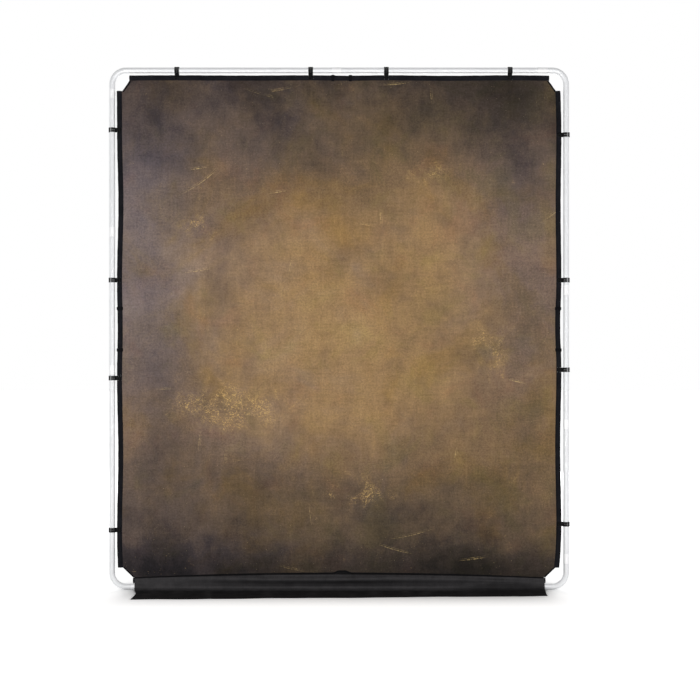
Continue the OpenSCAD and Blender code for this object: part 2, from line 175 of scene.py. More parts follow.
def enclosed(shell):
    """Volume inside a closed skin, negative where its faces point inwards."""
    points, quads, _, tris, _ = shell
    fans = np.concatenate([quads[:, [0, 1, 2]], quads[:, [0, 2, 3]], tris])
    a, b, c = points[fans].transpose(1, 0, 2)
    return (a * np.cross(b, c)).sum() / 6


def outward(shell):
    """The same closed skin with its faces pointing outwards."""
    if enclosed(shell) > 0:
        return shell
    points, quads, quad_uv, tris, tri_uv = shell
    return points, quads[:, ::-1], quad_uv[:, ::-1], tris[:, ::-1], tri_uv[:, ::-1]


def copies(shell, offsets):
    """Copies of a small closed skin, one at each offset."""
    points, quads, quad_uv, tris, tri_uv = shell
    count = len(offsets)
    shift = (np.arange(count) * len(points))[:, None, None]
    return (
        (points[None] + offsets[:, None]).reshape(-1, 3),
        (quads[None] + shift).reshape(-1, 4),
        np.tile(quad_uv, (count, 1, 1)),
        (tris[None] + shift).reshape(-1, 3),
        np.tile(tri_uv, (count, 1, 1)),
    )


def piece(name, shells, finish, nodes=(), body=None, sharp=40, marks=None):
    """One object of closed skins at the origin, with a UV map in metres. It stands for nodes and rides on a
    body, its first node's if none is given; one that is blended between two bodies is left on no body."""
    shells = [outward(s) for s in shells]
    starts = np.cumsum([0] + [len(s[0]) for s in shells])
    points = np.concatenate([s[0] for s in shells])
    quads = np.concatenate([s[1] + n for s, n in zip(shells, starts)])
    tris = np.concatenate([s[3] + n for s, n in zip(shells, starts)])
    uv = np.concatenate([s[2].reshape(-1) for s in shells] + [s[4].reshape(-1) for s in shells])
    mesh = bpy.data.meshes.new(name)
    mesh.from_pydata(points.tolist(), [], quads.tolist() + tris.tolist())
    mesh.uv_layers.new(name="surface").data.foreach_set("uv", uv.astype(np.float32))
    for mark, values in (marks or {}).items():
        mesh.attributes.new(mark, "FLOAT", "POINT").data.foreach_set("value", values.astype(np.float32))
    mesh.polygons.foreach_set("use_smooth", np.ones(len(mesh.polygons), bool))
    mesh.set_sharp_from_angle(angle=np.radians(sharp))
    mesh.materials.append(finish)
    made = bpy.data.objects.new(name, mesh)
    scene.collection.objects.link(made)
    if nodes:
        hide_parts(*nodes)
        body = body or frame["nodes"][nodes[0]]["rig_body"]
    if body != "blended":
        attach(made, body)
    return made


def smooth_step(x):
    """Rises from 0 to 1 as x goes from 0 to 1, level at both ends."""
    x = np.clip(x, 0, 1)
    return x * x * (3 - 2 * x)


def bell(*offsets):
    """Falls from 1 to 0 as the offsets grow: exp(-(a^2 + b^2 + ...))."""
    return np.exp(-sum(offset**2 for offset in offsets))


def rounded(outline):
    """Cuts a quarter off both ends of each side of a closed outline, twice over."""
    for _ in range(2):
        ahead = np.roll(outline, -1, axis=0)
        outline = np.stack([0.75 * outline + 0.25 * ahead, 0.25 * outline + 0.75 * ahead], 1)
        outline = outline.reshape(-1, outline.shape[-1])
    return outline


# Materials


class Value:
    """An output of a node. Arithmetic on it adds the nodes that work it out."""

    def __init__(self, socket):
        self.socket = socket
        self.tree = socket.id_data

    def __add__(self, other):
        return calc("ADD", self, other)

    def __sub__(self, other):
        return calc("SUBTRACT", self, other)

    def __mul__(self, other):
        return calc("MULTIPLY", self, other)

    def __truediv__(self, other):
        return calc("DIVIDE", self, other)

    def __rtruediv__(self, other):
        return calc("DIVIDE", other, self)

    def __abs__(self):
        return calc("ABSOLUTE", self)

    __radd__ = __add__


class Outputs:
    """The outputs of a node, as Values by name or number."""

    def __init__(self, node):
        self.node = node

    def __getitem__(self, key):
        return Value(self.node.outputs[key])


def connect(node, values):
    """Gives a node its inputs: a Value is linked, and anything else is set."""
    for key, value in dict(values).items():
        if isinstance(value, Value):
            value.tree.links.new(value.socket, node.inputs[key])
        else:
            node.inputs[key].default_value = value


def put(kind, values, tree=None, **settings):
    """Adds a node to a tree, or to the tree that its Values belong to."""
    values = dict(values)
    tree = tree or next(v.tree for v in values.values() if isinstance(v, Value))
    node = tree.nodes.new(kind)
    for key, value in settings.items():
        setattr(node, key, value)
    connect(node, values)
    return Outputs(node)


def calc(operation, *values, clamp=False):
    """One step of arithmetic."""
    return put("ShaderNodeMath", enumerate(values), operation=operation, use_clamp=clamp)[0]


def noise(vector, scale, detail=3.0, rough=0.5, distort=0.0):
    """Soft noise from 0 to 1."""
    values = {"Vector": vector, "Scale": scale, "Detail": detail, "Roughness": rough, "Distortion": distort}
    return put("ShaderNodeTexNoise", values)["Fac"]


def stretch(vector, scale=(1, 1, 1), turn=(0, 0, 0), move=(0, 0, 0)):
    """Moves, turns and scales a pattern's coordinates."""
    return put("ShaderNodeMapping", {"Vector": vector, "Scale": scale, "Rotation": turn, "Location": move})[0]


def split(vector):
    """The three axes of a vector."""
    return put("ShaderNodeSeparateXYZ", {0: vector})


def between(value, low, high, to_low=0.0, to_high=1.0):
    """Eases a value from one range to another and holds it at both ends."""
    values = enumerate((value, low, high, to_low, to_high))
    return put("ShaderNodeMapRange", values, interpolation_type="SMOOTHSTEP")[0]


def tint(share, first, second, kind="MIX"):
    """Mixes two colours."""
    values = {0: share, 6: first, 7: second}
    return put("ShaderNodeMix", values, data_type="RGBA", blend_type=kind)[2]


def ramp(value, stops):
    """A scale of colours, as (place, colour) pairs."""
    scale = put("ShaderNodeValToRGB", {"Fac": value})
    elements = scale.node.color_ramp.elements
    while len(elements) < len(stops):
        elements.new(0.5)
    for element, (place, colour) in zip(elements, stops):
        element.position = place
        element.color = colour
    return scale[0]


def bumped(height, strength, distance):
    """A normal from a height."""
    return put("ShaderNodeBump", {"Height": height, "Strength": strength, "Distance": distance})[0]


def attribute(surface, name):
    """A mark that the mesh carries at its points."""
    return put("ShaderNodeAttribute", {}, surface.id_data, attribute_name=name)["Fac"]


def use(effect, **values):
    """Places a node group."""
    return put("ShaderNodeGroup", values, node_tree=effect)


def shade(red, green, blue):
    """A colour given in display values from 0 to 255, as the linear values that a shader takes."""
    value = np.array([red, green, blue]) / 255
    linear = np.where(value <= 0.04045, value / 12.92, ((value + 0.055) / 1.055) ** 2.4)
    return (*linear.tolist(), 1.0)


def grey(value):
    """A grey in linear values."""
    return value, value, value, 1


def group(name, inputs, outputs):
    """An empty node group on a vector, with more inputs and outputs that are numbers: the tree, what it
    is given and its output node."""
    tree = bpy.data.node_groups.new(name, "ShaderNodeTree")
    tree.interface.new_socket("Vector", in_out="INPUT", socket_type="NodeSocketVector")
    for label, value in inputs.items():
        tree.interface.new_socket(label, in_out="INPUT", socket_type="NodeSocketFloat").default_value = value
    for label in outputs:
        tree.interface.new_socket(label, in_out="OUTPUT", socket_type="NodeSocketFloat")
    return tree, put("NodeGroupInput", {}, tree), tree.nodes.new("NodeGroupOutput")


def woven_threads():
    """Plain weave: the product of two waves across and along, with thick and thin places in the threads."""
    tree, given, out = group("woven threads", {"Threads": 900.0, "Slub": 0.5}, ["Height", "Slub"])
    axes = split(given["Vector"])
    pitch = given["Threads"] * np.pi
    warp, weft = (calc("SINE", axes[n] * pitch) for n in (0, 1))
    cross = warp * weft * 0.5 + 0.5
    along, over = (noise(stretch(given["Vector"], size), 1.0, 2.0) for size in ((420, 26, 1), (26, 420, 1)))
    slub = calc("MAXIMUM", along, over)
    connect(out, {"Slub": slub, "Height": slub * given["Slub"] + cross * 0.5})
    return tree


def hairline_scratches():
    """Short thin lines, at most one pair to a cell of a random net. Each cell has its own lean, length
    and presence. A line is where the distance across it is under the width and the distance along it
    under the length, and a fainter one runs beside it."""
    inputs = {"Cells": 6.0, "Width": 0.0006, "Cover": 0.6, "Turn": 6.28, "Lean": 0.0}
    tree, given, out = group("hairline scratches", inputs, ["Lines"])
    lines = []
    for shift in (0.0, 3.7):
        spot = stretch(given["Vector"], move=(shift, 2 * shift, 0))
        cell = put("ShaderNodeTexVoronoi", {"Vector": spot, "Scale": given["Cells"]}, voronoi_dimensions="2D")
        own = put("ShaderNodeSeparateColor", {0: cell["Color"]})
        away = put("ShaderNodeVectorMath", {0: spot, 1: cell["Position"]}, operation="SUBTRACT")[0]
        lean = (own[0] - 0.5) * given["Turn"] + given["Lean"]
        turned = put("ShaderNodeVectorRotate", {"Vector": away, "Angle": lean}, rotation_type="Z_AXIS")
        axes = split(turned[0])
        aside = axes[1] - axes[0] * axes[0] * own[1]
        beside = given["Width"] * -5.5 + aside
        near, far = (calc("SUBTRACT", 1.6, abs(d) / given["Width"], clamp=True) for d in (aside, beside))
        length = (own[1] * 0.35 + 0.08) / given["Cells"]
        ends = calc("SUBTRACT", 1.0, abs(axes[0]) / length, clamp=True)
        shown = calc("GREATER_THAN", own[2], given["Cover"])
        lines.append(shown * ((far * 0.35 + near) * ends))
    connect(out, {"Lines": calc("MAXIMUM", *lines)})
    return tree


def handling_marks():
    """Smudges from hands: two sizes of soft noise, added and pulled apart."""
    tree, given, out = group("handling marks", {"Scale": 14.0}, ["Smudge"])
    large = noise(given["Vector"], given["Scale"], 4.0, 0.6, 0.5)
    small = noise(given["Vector"], given["Scale"] * 6.0, 3.0, 0.6)
    connect(out, {"Smudge": between(small * 0.4 + large * 0.6, 0.35, 0.65)})
    return tree


WEAVE = woven_threads()
SCRATCHES = hairline_scratches()
HANDLING = handling_marks()


def finish_named(name):
    """A new material, its Principled BSDF and the coordinates that its patterns start from."""
    made = bpy.data.materials.new(name)
    made.use_nodes = True
    tree = made.node_tree
    tree.nodes.clear()
    surface = put("ShaderNodeBsdfPrincipled", {}, tree)
    put("ShaderNodeOutputMaterial", {"Surface": surface[0]})
    return made, surface.node, put("ShaderNodeTexCoord", {}, tree)


def drawn_metal(name, colour, dull, rough, shine, depth=0.12):
    """Drawn metal: streaks along the tube that also stand proud, and smudges and hairlines that change
    its colour and roughness."""
    made, surface, place = finish_named(name)
    streaks = noise(stretch(place["UV"], (700, 5, 1)), 1.0, 1.0, 0.6)
    marks = use(HANDLING, Vector=place["Object"], Scale=11.0)["Smudge"]
    lines = use(SCRATCHES, Vector=place["UV"], Cells=30.0, Width=0.0002, Cover=0.5)["Lines"]
    contrast = 4 * depth
    # On metal this share is only wear, from smudges and streaks, and paints no light
    wear_and_glint = marks * 0.5 + streaks * contrast
    connect(surface, {
        "Base Color": tint(lines * contrast, tint(wear_and_glint, dull, colour), dull),
        "Roughness": between(wear_and_glint, 0.2, 0.8, rough + shine, rough - shine),
        "Metallic": 0.5,
        "Normal": bumped(streaks * 0.4, depth, 0.0004)})
    return made


def black_cloth(name, dark, pale, threads, sheen, painted_shade=None):
    """Black woven cloth: thread weave, lint and rubbed places that are a little paler, and painted shade
    where an attribute marks it."""
    made, surface, place = finish_named(name)
    weave = use(WEAVE, Vector=place["UV"], Threads=threads, Slub=0.7)
    rubbed = noise(place["Object"], 23.0, 4.0, 0.6)
    lint = between(noise(place["Object"], 420.0, 1.0), 0.70, 0.80)
    share = calc("MULTIPLY_ADD", weave["Slub"], 0.8, rubbed * 0.9 - 0.55, clamp=True)
    colour = tint(share, dark, pale)
    if painted_shade:
        # Painted shade: where the mark says so, the cloth is mixed towards near black
        colour = tint(attribute(surface, painted_shade) * 0.86, colour, shade(6, 6, 7))
    connect(surface, {
        "Base Color": tint(lint * 0.12, colour, grey(0.25)),
        "Roughness": between(rubbed, 0.3, 0.7, 0.91, 0.75),
        "Specular IOR Level": 0.02,
        "Sheen Weight": sheen,
        "Sheen Roughness": 0.5,
        "Normal": bumped(weave["Height"], 0.35, 0.0006)})
    return made


def moulded_black():
    """Glossy black moulded plastic: faint flow marks, fine scuffs and a soft grain, and painted pale
    highlights where an attribute marks the places that catch the light."""
    made, surface, place = finish_named("moulded black")
    marks = use(HANDLING, Vector=place["Object"], Scale=40.0)["Smudge"]
    lines = use(SCRATCHES, Vector=place["UV"], Cells=160.0, Width=0.00014, Cover=0.4)["Lines"]
    grain = noise(place["Object"], 900.0, 2.0)
    base = tint(marks, (0.003, 0.003, 0.0035, 1), (0.007, 0.007, 0.0075, 1))
    base = tint(lines * 0.4, base, grey(0.12))
    patchy = between(noise(place["Object"], 700.0, 3.0, 0.6), 0.30, 0.60, 0.35, 1.0)
    connect(surface, {
        # Painted highlights: the marked places are mixed towards pale grey
        "Base Color": tint(attribute(surface, "wear_and_glint") * patchy, base, shade(214, 214, 215)),
        "Roughness": between(marks, 0.0, 1.0, 0.22, 0.36),
        "Specular IOR Level": 0.06,
        "Normal": bumped(lines * -0.5 + grain * 0.3, 0.15, 0.0003)})
    return made


def soft_plastic(name, dark, pale, rough):
    """Matt plastic or rubber: fine grain with dusty places."""
    made, surface, place = finish_named(name)
    marks = use(HANDLING, Vector=place["Object"], Scale=60.0)["Smudge"]
    connect(surface, {
        "Base Color": tint(marks, dark, pale),
        "Roughness": between(marks, 0.0, 1.0, rough - 0.08, rough + 0.08),
        "Specular IOR Level": 0.15,
        "Normal": bumped(noise(place["Object"], 1500.0, 2.0), 0.2, 0.0002)})
    return made


def fibre_rod():
    """Dark fibre rod: resin with fine fibres along the rod."""
    made, surface, place = finish_named("fibre rod")
    fibres = noise(stretch(place["UV"], (2400, 30, 1)), 1.0, 3.0, 0.7)
    marks = use(HANDLING, Vector=place["Object"], Scale=25.0)["Smudge"]
    share = fibres * 0.7 + marks * 0.3
    connect(surface, {
        "Base Color": tint(share, shade(22, 22, 24), shade(46, 46, 48)),
        "Roughness": between(share, 0.3, 0.7, 0.32, 0.5),
        "Specular IOR Level": 0.25,
        "Normal": bumped(fibres, 0.15, 0.0003)})
    return made


# Scale of the print's colours, from its darkest to its palest
PAINTS = [(0.05, shade(26, 24, 23)), (0.20, shade(40, 36, 33)), (0.35, shade(66, 57, 51)),
          (0.50, shade(98, 82, 66)), (0.65, shade(124, 101, 76)), (0.80, shade(151, 122, 86)),
          (0.95, shade(172, 142, 98))]

# Places of the rubbed patches on the print: across, up, half width, half height, strength
RUBBED = [(-0.47, 0.80, 0.20, 0.085, 0.95), (0.38, 1.80, 0.12, 0.05, 0.58), (0.10, 0.42, 0.14, 0.06, 0.62),
          (-0.62, 1.62, 0.08, 0.10, 0.48), (0.66, 1.05, 0.08, 0.14, 0.55)]

# Sets of scratches on the print: cells to a metre, share of cells without one, lean, strength
SCRATCHED = [(3.6, 0.86, 0.08, 0.70), (5.5, 0.92, 1.60, 0.55), (2.6, 0.90, -0.45, 0.60)]


def rubbed_patches(across, up):
    """Where the print is rubbed: the sum of soft ovals, each falling off with the square of the
    distance."""
    total = 0.0
    for middle_x, middle_z, wide, tall, strength in RUBBED:
        dx = (across - middle_x) / wide
        dz = (up - middle_z) / tall
        total = total + calc("EXPONENT", (dx * dx + dz * dz) * -0.7) * strength
    return total


def colour_casts(spot, across, up):
    """Where the print turns to other hues: a share, its strength and what it multiplies the colour by."""
    hue = noise(stretch(spot, move=(21.0, 3.0, 0)), 3.1, 5.0, 0.6, 0.7)
    cast = noise(stretch(spot, move=(5.0, 17.0, 0)), 5.3, 5.0, 0.62, 0.6)
    mauve = between(across * -0.22 + hue, 0.46, 0.76)
    gold = between(across * -0.06 + hue, 0.48, 0.30)
    olive = between(across * 0.05 + cast, 0.50, 0.70)
    rust = between(cast, 0.48, 0.30)
    at_height = between(up, 0.60, 1.20) * between(up, 2.20, 1.70)
    left_cool = at_height * between(across, -0.40, -0.90)
    right_cool = at_height * between(across, 0.35, 0.80)
    return [(mauve, 0.95, (0.97, 1.03, 1.30, 1)), (gold, 0.9, (1.01, 0.98, 0.80, 1)),
            (olive, 0.9, (0.95, 1.00, 0.88, 1)), (rust, 0.9, (1.02, 0.95, 0.96, 1)),
            (left_cool, 1.0, (0.91, 1.05, 1.46, 1)), (right_cool, 1.0, (0.95, 1.02, 1.38, 1))]


def printed_canvas():
    """Mottled print on canvas: a pale middle that falls off to the edges, broken by patches of several
    sizes, with rubbed flakes, hairlines, specks and a thread weave; the rear shows the bare cloth."""
    made, surface, place = finish_named("printed canvas")
    axes = split(place["Object"])
    across, up = axes[0], axes[2]
    spot = put("ShaderNodeCombineXYZ", {0: across, 1: up, 2: 0.0})[0]
    aside = across / 1.2
    above = (up - 1.15) / 0.8
    glow = 1.0 / (1.0 + (aside * aside + calc("POWER", abs(above), 4.0)))
    glow = glow - between(up, 0.26, 0.06, 0.0, 0.16) + between(abs(across), 0.80, 0.92, 0.0, 0.12)
    swirl = noise(stretch(spot, move=(3.7, 1.3, 0)), 1.9, 4.0, 0.55, 0.8)
    patch = noise(stretch(spot, move=(8.1, 5.9, 0)), 4.6, 6.0, 0.62, 0.9)
    blot = noise(stretch(spot, (1, 0.8, 1), move=(1.9, 7.7, 0)), 13.0, 6.0, 0.66, 0.5)
    level = (swirl - 0.5) * 0.62 + glow
    level = (patch - 0.5) * 0.42 + level
    level = (blot - 0.5) * 0.40 + level
    paint = ramp(level * 0.6 + 0.2, PAINTS)
    for share, strength, change in colour_casts(spot, across, up):
        paint = tint(share * strength, paint, tint(1.0, paint, change, "MULTIPLY"))
    grain = noise(spot, 120.0, 5.0, 0.8)
    brushed = noise(stretch(spot, (60, 9, 1)), 1.0, 3.0, 0.6)
    wiped = noise(stretch(spot, (8, 70, 1)), 1.0, 3.0, 0.6)
    worked = grain * 1.5 + (brushed + wiped) * 0.33
    paint = tint(1.0, paint, worked - 0.12, "MULTIPLY")
    rubbed = between((blot - 0.5) * 2.4 + rubbed_patches(across, up), 0.28, 0.95)
    flake = noise(stretch(spot, (1, 1.5, 1), (0, 0, 0.25)), 88.0, 6.0, 0.70, 1.6)
    flaked = rubbed * between(flake, 0.52, 0.60)
    paint = tint(flaked * 0.85, paint, shade(210, 174, 112))
    broken = between(grain, 0.40, 0.58)
    wiped_off = between(noise(stretch(spot, move=(2.0, 9.0, 0)), 3.4, 3.0), 0.44, 0.56)
    for cells, cover, lean, strength in SCRATCHED:
        marks = use(SCRATCHES, Vector=spot, Cells=cells, Width=0.0012, Cover=cover, Turn=0.55, Lean=lean)
        paint = tint(marks["Lines"] * broken * wiped_off * strength, paint, shade(220, 190, 130))
    flecked = between(noise(stretch(spot, move=(11.0, 4.0, 0)), 5.5, 3.0), 0.58, 0.70)
    fleck = noise(stretch(spot, (1, 1.7, 1), (0, 0, 0.6)), 62.0, 3.0, 0.6, 0.8)
    paint = tint(flecked * between(fleck, 0.66, 0.74) * 0.5, paint, shade(190, 162, 116))
    specks = between(noise(spot, 210.0, 1.0), 0.74, 0.80)
    paint = tint(specks * 0.5, paint, shade(196, 172, 132))
    weave = use(WEAVE, Vector=place["UV"], Threads=900.0, Slub=0.8)
    thread = ramp(weave["Slub"], [(0.35, grey(0.90)), (0.75, grey(1.06))])
    paint = tint(1.0, paint, thread, "MULTIPLY")
    bare = tint(0.3, tint(weave["Slub"], shade(104, 99, 92), shade(136, 130, 121)), paint)
    connect(surface, {
        "Base Color": tint(attribute(surface, "rear"), paint, bare),
        "Roughness": between(blot, 0.3, 0.7, 0.80, 0.94),
        "Specular IOR Level": 0.06,
        "Normal": bumped(flaked * 0.3 + weave["Height"], 0.3, 0.0006)})
    return made


TUBE = drawn_metal("satin tube", shade(237, 238, 239), shade(225, 226, 228), 0.38, 0.05)
SLEEVE = drawn_metal("bright sleeve", shade(250, 250, 250), shade(243, 243, 244), 0.30, 0.03, 0.03)
SPIGOT = drawn_metal("bare spigot", shade(214, 216, 218), shade(176, 178, 180), 0.36, 0.08)
JOINER = drawn_metal("dull joiner", shade(160, 165, 170), shade(118, 122, 126), 0.42, 0.08)
CLIP = moulded_black()
HEM = black_cloth("hem cloth", shade(17, 17, 20), shade(37, 37, 41), 1100.0, 0.02)
TRIM = black_cloth("webbing", shade(12, 12, 14), shade(26, 26, 29), 500.0, 0.02)
# The flap's cloth takes painted shade from its mark
FLAP = black_cloth("flap cloth", shade(46, 45, 46), shade(72, 70, 71), 800.0, 0.0, painted_shade="painted_shade")
THREAD = soft_plastic("stitch thread", shade(30, 30, 33), shade(50, 50, 54), 0.6)
CAP = soft_plastic("end cap", shade(24, 24, 25), shade(44, 44, 45), 0.6)
BATTEN = fibre_rod()
CANVAS = printed_canvas()


# Frame tubes: a run is a centreline as a function of the distance, its length and the distances of its rings


def straight(start, end):
    """A straight run."""
    length = np.linalg.norm(end - start)
    way = (end - start) / length

    def line(s):
        return start + s[:, None] * way, np.broadcast_to(way, (len(s), 3))

    return line, length, np.linspace(MOUTH_RUN, length - MOUTH_RUN, 12)


def bent(start, corner, end):
    """A run that goes straight, round a quarter circle and straight again."""
    first, second = np.linalg.norm(corner - start), np.linalg.norm(end - corner)
    into, out = (corner - start) / first, (end - corner) / second
    before, after, arc = first - BEND_R, second - BEND_R, BEND_R * np.pi / 2
    length = before + arc + after

    def line(s):
        angle = np.clip((s - before) / BEND_R, 0, np.pi / 2)[:, None]
        s = s[:, None]
        ahead = np.minimum(s, before) + BEND_R * np.sin(angle)
        turned = BEND_R * (1 - np.cos(angle)) + np.maximum(s - before - arc, 0)
        return start + into * ahead + out * turned, into * np.cos(angle) + out * np.sin(angle)

    stops = np.concatenate([
        np.linspace(MOUTH_RUN, before, 8)[:-1], np.linspace(before, before + arc, 25),
        np.linspace(before + arc, length - MOUTH_RUN, 8)[1:]])
    return line, length, stops


def round_wall(line, run, radius):
    """A closed wall of circles along a centreline: row k is at the distance run[k] with radius[k]."""
    around = 48
    point, way = line(run)
    side = np.cross(way, REAR)
    angle = np.arange(around) * TURN / around
    spoke = np.cos(angle)[:, None] * side[:, None] + np.sin(angle)[:, None] * REAR
    grid = point[:, None] + radius[:, None, None] * spoke
    return skin(grid, True, True, np.arange(around + 1) * TURN / around * TUBE_R, np.append(run, run[0]))


def tube_wall(line, length, stops):
    """A tube: out along the outside, with the mouths' edges broken, and back along the bore."""
    rim = 0.0005
    out = np.concatenate([[0, rim], stops, [length - rim, length]])
    out_r = np.full(len(out), TUBE_R)
    out_r[[0, -1]] -= rim
    has_bend = len(stops) > 20
    back = out[::-1] if has_bend else np.linspace(length, 0, 5)
    return round_wall(line, np.append(out, back), np.append(out_r, np.full(len(back), TUBE_BORE_R)))


# A sleeve as distance from its mouth and radius, in millimetres: a rolled bead, a plain band, a groove, a
# broken far edge and the bore
SLEEVE_PROFILE = np.array([
    [0, 13.0], [0.3, 13.4], [0.9, 13.6], [2.1, 13.6], [2.7, 13.4], [3.1, 13.25], [3.4, 13.25], [27.7, 13.25],
    [28, 13.25], [28.6, 13.08], [29.2, 13.02], [29.8, 13.08], [30.4, 13.25], [30.7, 13.25], [41.1, 13.25],
    [41.4, 13.25], [42, 12.9], [42, 12.55], [21, 12.55], [0, 12.55]]) / 1000


def sleeve_wall(start, way):
    """A bright sleeve from a mouth along a tube."""
    line, _, _ = straight(start, start + way * SLEEVE_LEN)
    return round_wall(line, *SLEEVE_PROFILE.T)


def at(x, z):
    """A point of the ring's plane."""
    return np.array([x, RING_Y, z])


def make_tubes():
    """The ten tubes of the ring, from the mouths that their solids have."""
    runs = {}
    for name, x, z in (("bottom_left", -SIDE_X, LOW_Z), ("top_left", -SIDE_X, HIGH_Z),
                       ("top_right", SIDE_X, HIGH_Z), ("bottom_right", SIDE_X, LOW_Z)):
        low, high = corners(name + "_tube")
        across = high[0] if x < 0 else low[0]
        upright = high[2] if z == LOW_Z else low[2]
        runs[name + "_tube"] = bent(at(across, z), at(x, z), at(x, upright))
    for name in ("left_middle", "left_upper", "right_middle", "right_lower"):
        low, high = corners(name + "_tube")
        x = middle(name + "_tube")[0]
        runs[name + "_tube"] = straight(at(x, low[2]), at(x, high[2]))
    for name in ("top_middle", "bottom_middle"):
        low, high = corners(name + "_tube")
        z = middle(name + "_tube")[2]
        runs[name + "_tube"] = straight(at(low[0], z), at(high[0], z))
    for node, run in runs.items():
        piece(node.replace("_tube", "_pipe"), [tube_wall(*run)], TUBE, [node])


def make_sleeves():
    """The bright sleeves, each from its joint line along the tube that carries it."""
    left = [corners(n)[1][2] for n in ("bottom_left_tube", "left_middle_tube", "left_upper_tube")]
    right = [corners(n)[1][2] for n in ("bottom_right_tube", "right_lower_tube", "right_middle_tube")]
    top = [corners("top_left_tube")[1][0], corners("top_right_tube")[0][0]]
    bottom = [corners("bottom_left_tube")[1][0], corners("bottom_right_tube")[0][0]]
    mouths = {
        "bottom_left_ferrule": [(bottom[0], LOW_Z, -RIGHT)],
        "left_middle_ferrule": [(-SIDE_X, left[0], UP)],
        "left_upper_ferrule": [(-SIDE_X, left[1], UP)],
        "top_left_ferrules": [(-SIDE_X, left[2], UP), (top[0], HIGH_Z, -RIGHT)],
        "top_right_ferrules": [(top[1], HIGH_Z, RIGHT), (SIDE_X, right[2], UP)],
        "right_middle_ferrule": [(SIDE_X, right[1], UP)],
        "right_lower_ferrule": [(SIDE_X, right[0], UP)],
        "bottom_right_ferrule": [(bottom[1], LOW_Z, RIGHT)],
    }
    for node, places in mouths.items():
        walls = [sleeve_wall(at(x, z) + way * JOINT_GAP, way) for x, z, way in places]
        piece(node.replace("ferrule", "sleeve"), walls, SLEEVE, [node])


# Hems: U runs out to the tube, V to the rear and W along the hem

# How far each hem is drawn in between its clips, in the order of the hem
BOW_BY_SIDE = {
    "top": (0.0012, 0.0018, 0.0022), "left": (0.0052, 0.0028, 0.0058), "right": (0.0050, 0.0052, 0.0030)}


class HemLine:
    """The axis of one hem, with its ends, its clips and its own directions."""

    def __init__(self, side, out, along, end_sway=(0.0, 0.0)):
        self.side, self.out, self.along = side, out, along
        self.base = middle(side + "_battens") * (1 - along)
        self.ends = self.reach("hem")
        names = [side + "_clip_%d" % n for n in (1, 2, 3, 4)] if side != "bottom" else []
        self.clips = {name: float(middle(name) @ along) for name in names}
        self.stops = np.array([self.ends[0], *sorted(self.clips.values()), self.ends[1]])
        self.sway = np.array([end_sway[0], *BOW_BY_SIDE.get(side, ()), end_sway[1]])
        low, high = self.reach("keepers")
        self.keepers = [low + KEEPER_LEN / 2, high - KEEPER_LEN / 2]

    def reach(self, part):
        """Where one of this side's solids starts and ends along the hem."""
        low, high = corners(self.side + "_" + part)
        return float(low @ self.along), float(high @ self.along)

    def bow(self, w):
        """How far the hem is drawn inwards: nothing at the clips, a squared sine between two of them, and
        the square of the distance past the first and last."""
        last = len(self.stops) - 2
        if last < 1:
            return np.zeros(np.shape(w))
        span = np.clip(np.searchsorted(self.stops, w, side="right") - 1, 0, last)
        share = np.clip((w - self.stops[span]) / (self.stops[span + 1] - self.stops[span]), 0, 1)
        between_clips = np.sin(np.pi * share) ** 2
        drawn = np.where(span == last, share**2, between_clips)
        return self.sway[span] * np.where(span == 0, (1 - share) ** 2, drawn)

    def spot(self, u, v, w):
        """Points from places out, to the rear and along, on the drawn-in hem."""
        u, v, w = np.broadcast_arrays(u, v, w)
        out = u - self.bow(w)
        return self.base + out[..., None] * self.out + v[..., None] * REAR + w[..., None] * self.along

    def rings(self, w, r, around):
        """Circles about the hem's axis, at the places w and with the radii r."""
        turn = np.arange(around) * TURN / around
        return self.spot(r[:, None] * np.cos(turn), r[:, None] * np.sin(turn), w[:, None])


TOP = HemLine("top", UP, RIGHT, (0.001, 0.002))
LEFT = HemLine("left", -RIGHT, UP, (0.0040, -0.0012))
RIGHT_HEM = HemLine("right", RIGHT, UP, (0.0095, 0.0045))
HEMS = [TOP, LEFT, RIGHT_HEM, HemLine("bottom", -UP, RIGHT)]

# Half of the hem's section, from its free edge to its sewn edge, in millimetres
HEM_HALF = np.array([
    [11.0, 0.0], [11.0, 2.4], [8.2, 4.6], [4.6, 6.1], [-1.0, 6.2], [-5.0, 5.4], [-8.2, 2.9], [-11.0, 1.5]])
HEM_SECTION = rounded(np.concatenate([HEM_HALF, HEM_HALF[:0:-1] * [1, -1]])) / 1000

# Slow waves in a hem's thickness: height, pitch along the hem, turns round it and share of the phase
HEM_WAVES = ((0.022, 61, 2, 1), (0.018, 139, -1, 1.7), (0.012, 311, 3, 2.3))


def hem_stretches(hem):
    """The stretches of a hem between its notches, as pairs of places."""
    places = sorted(hem.clips.values())
    starts = [hem.ends[0]] + [p + NOTCH_W / 2 for p in places]
    stops = [p - NOTCH_W / 2 for p in places] + [hem.ends[1]]
    return list(zip(starts, stops))


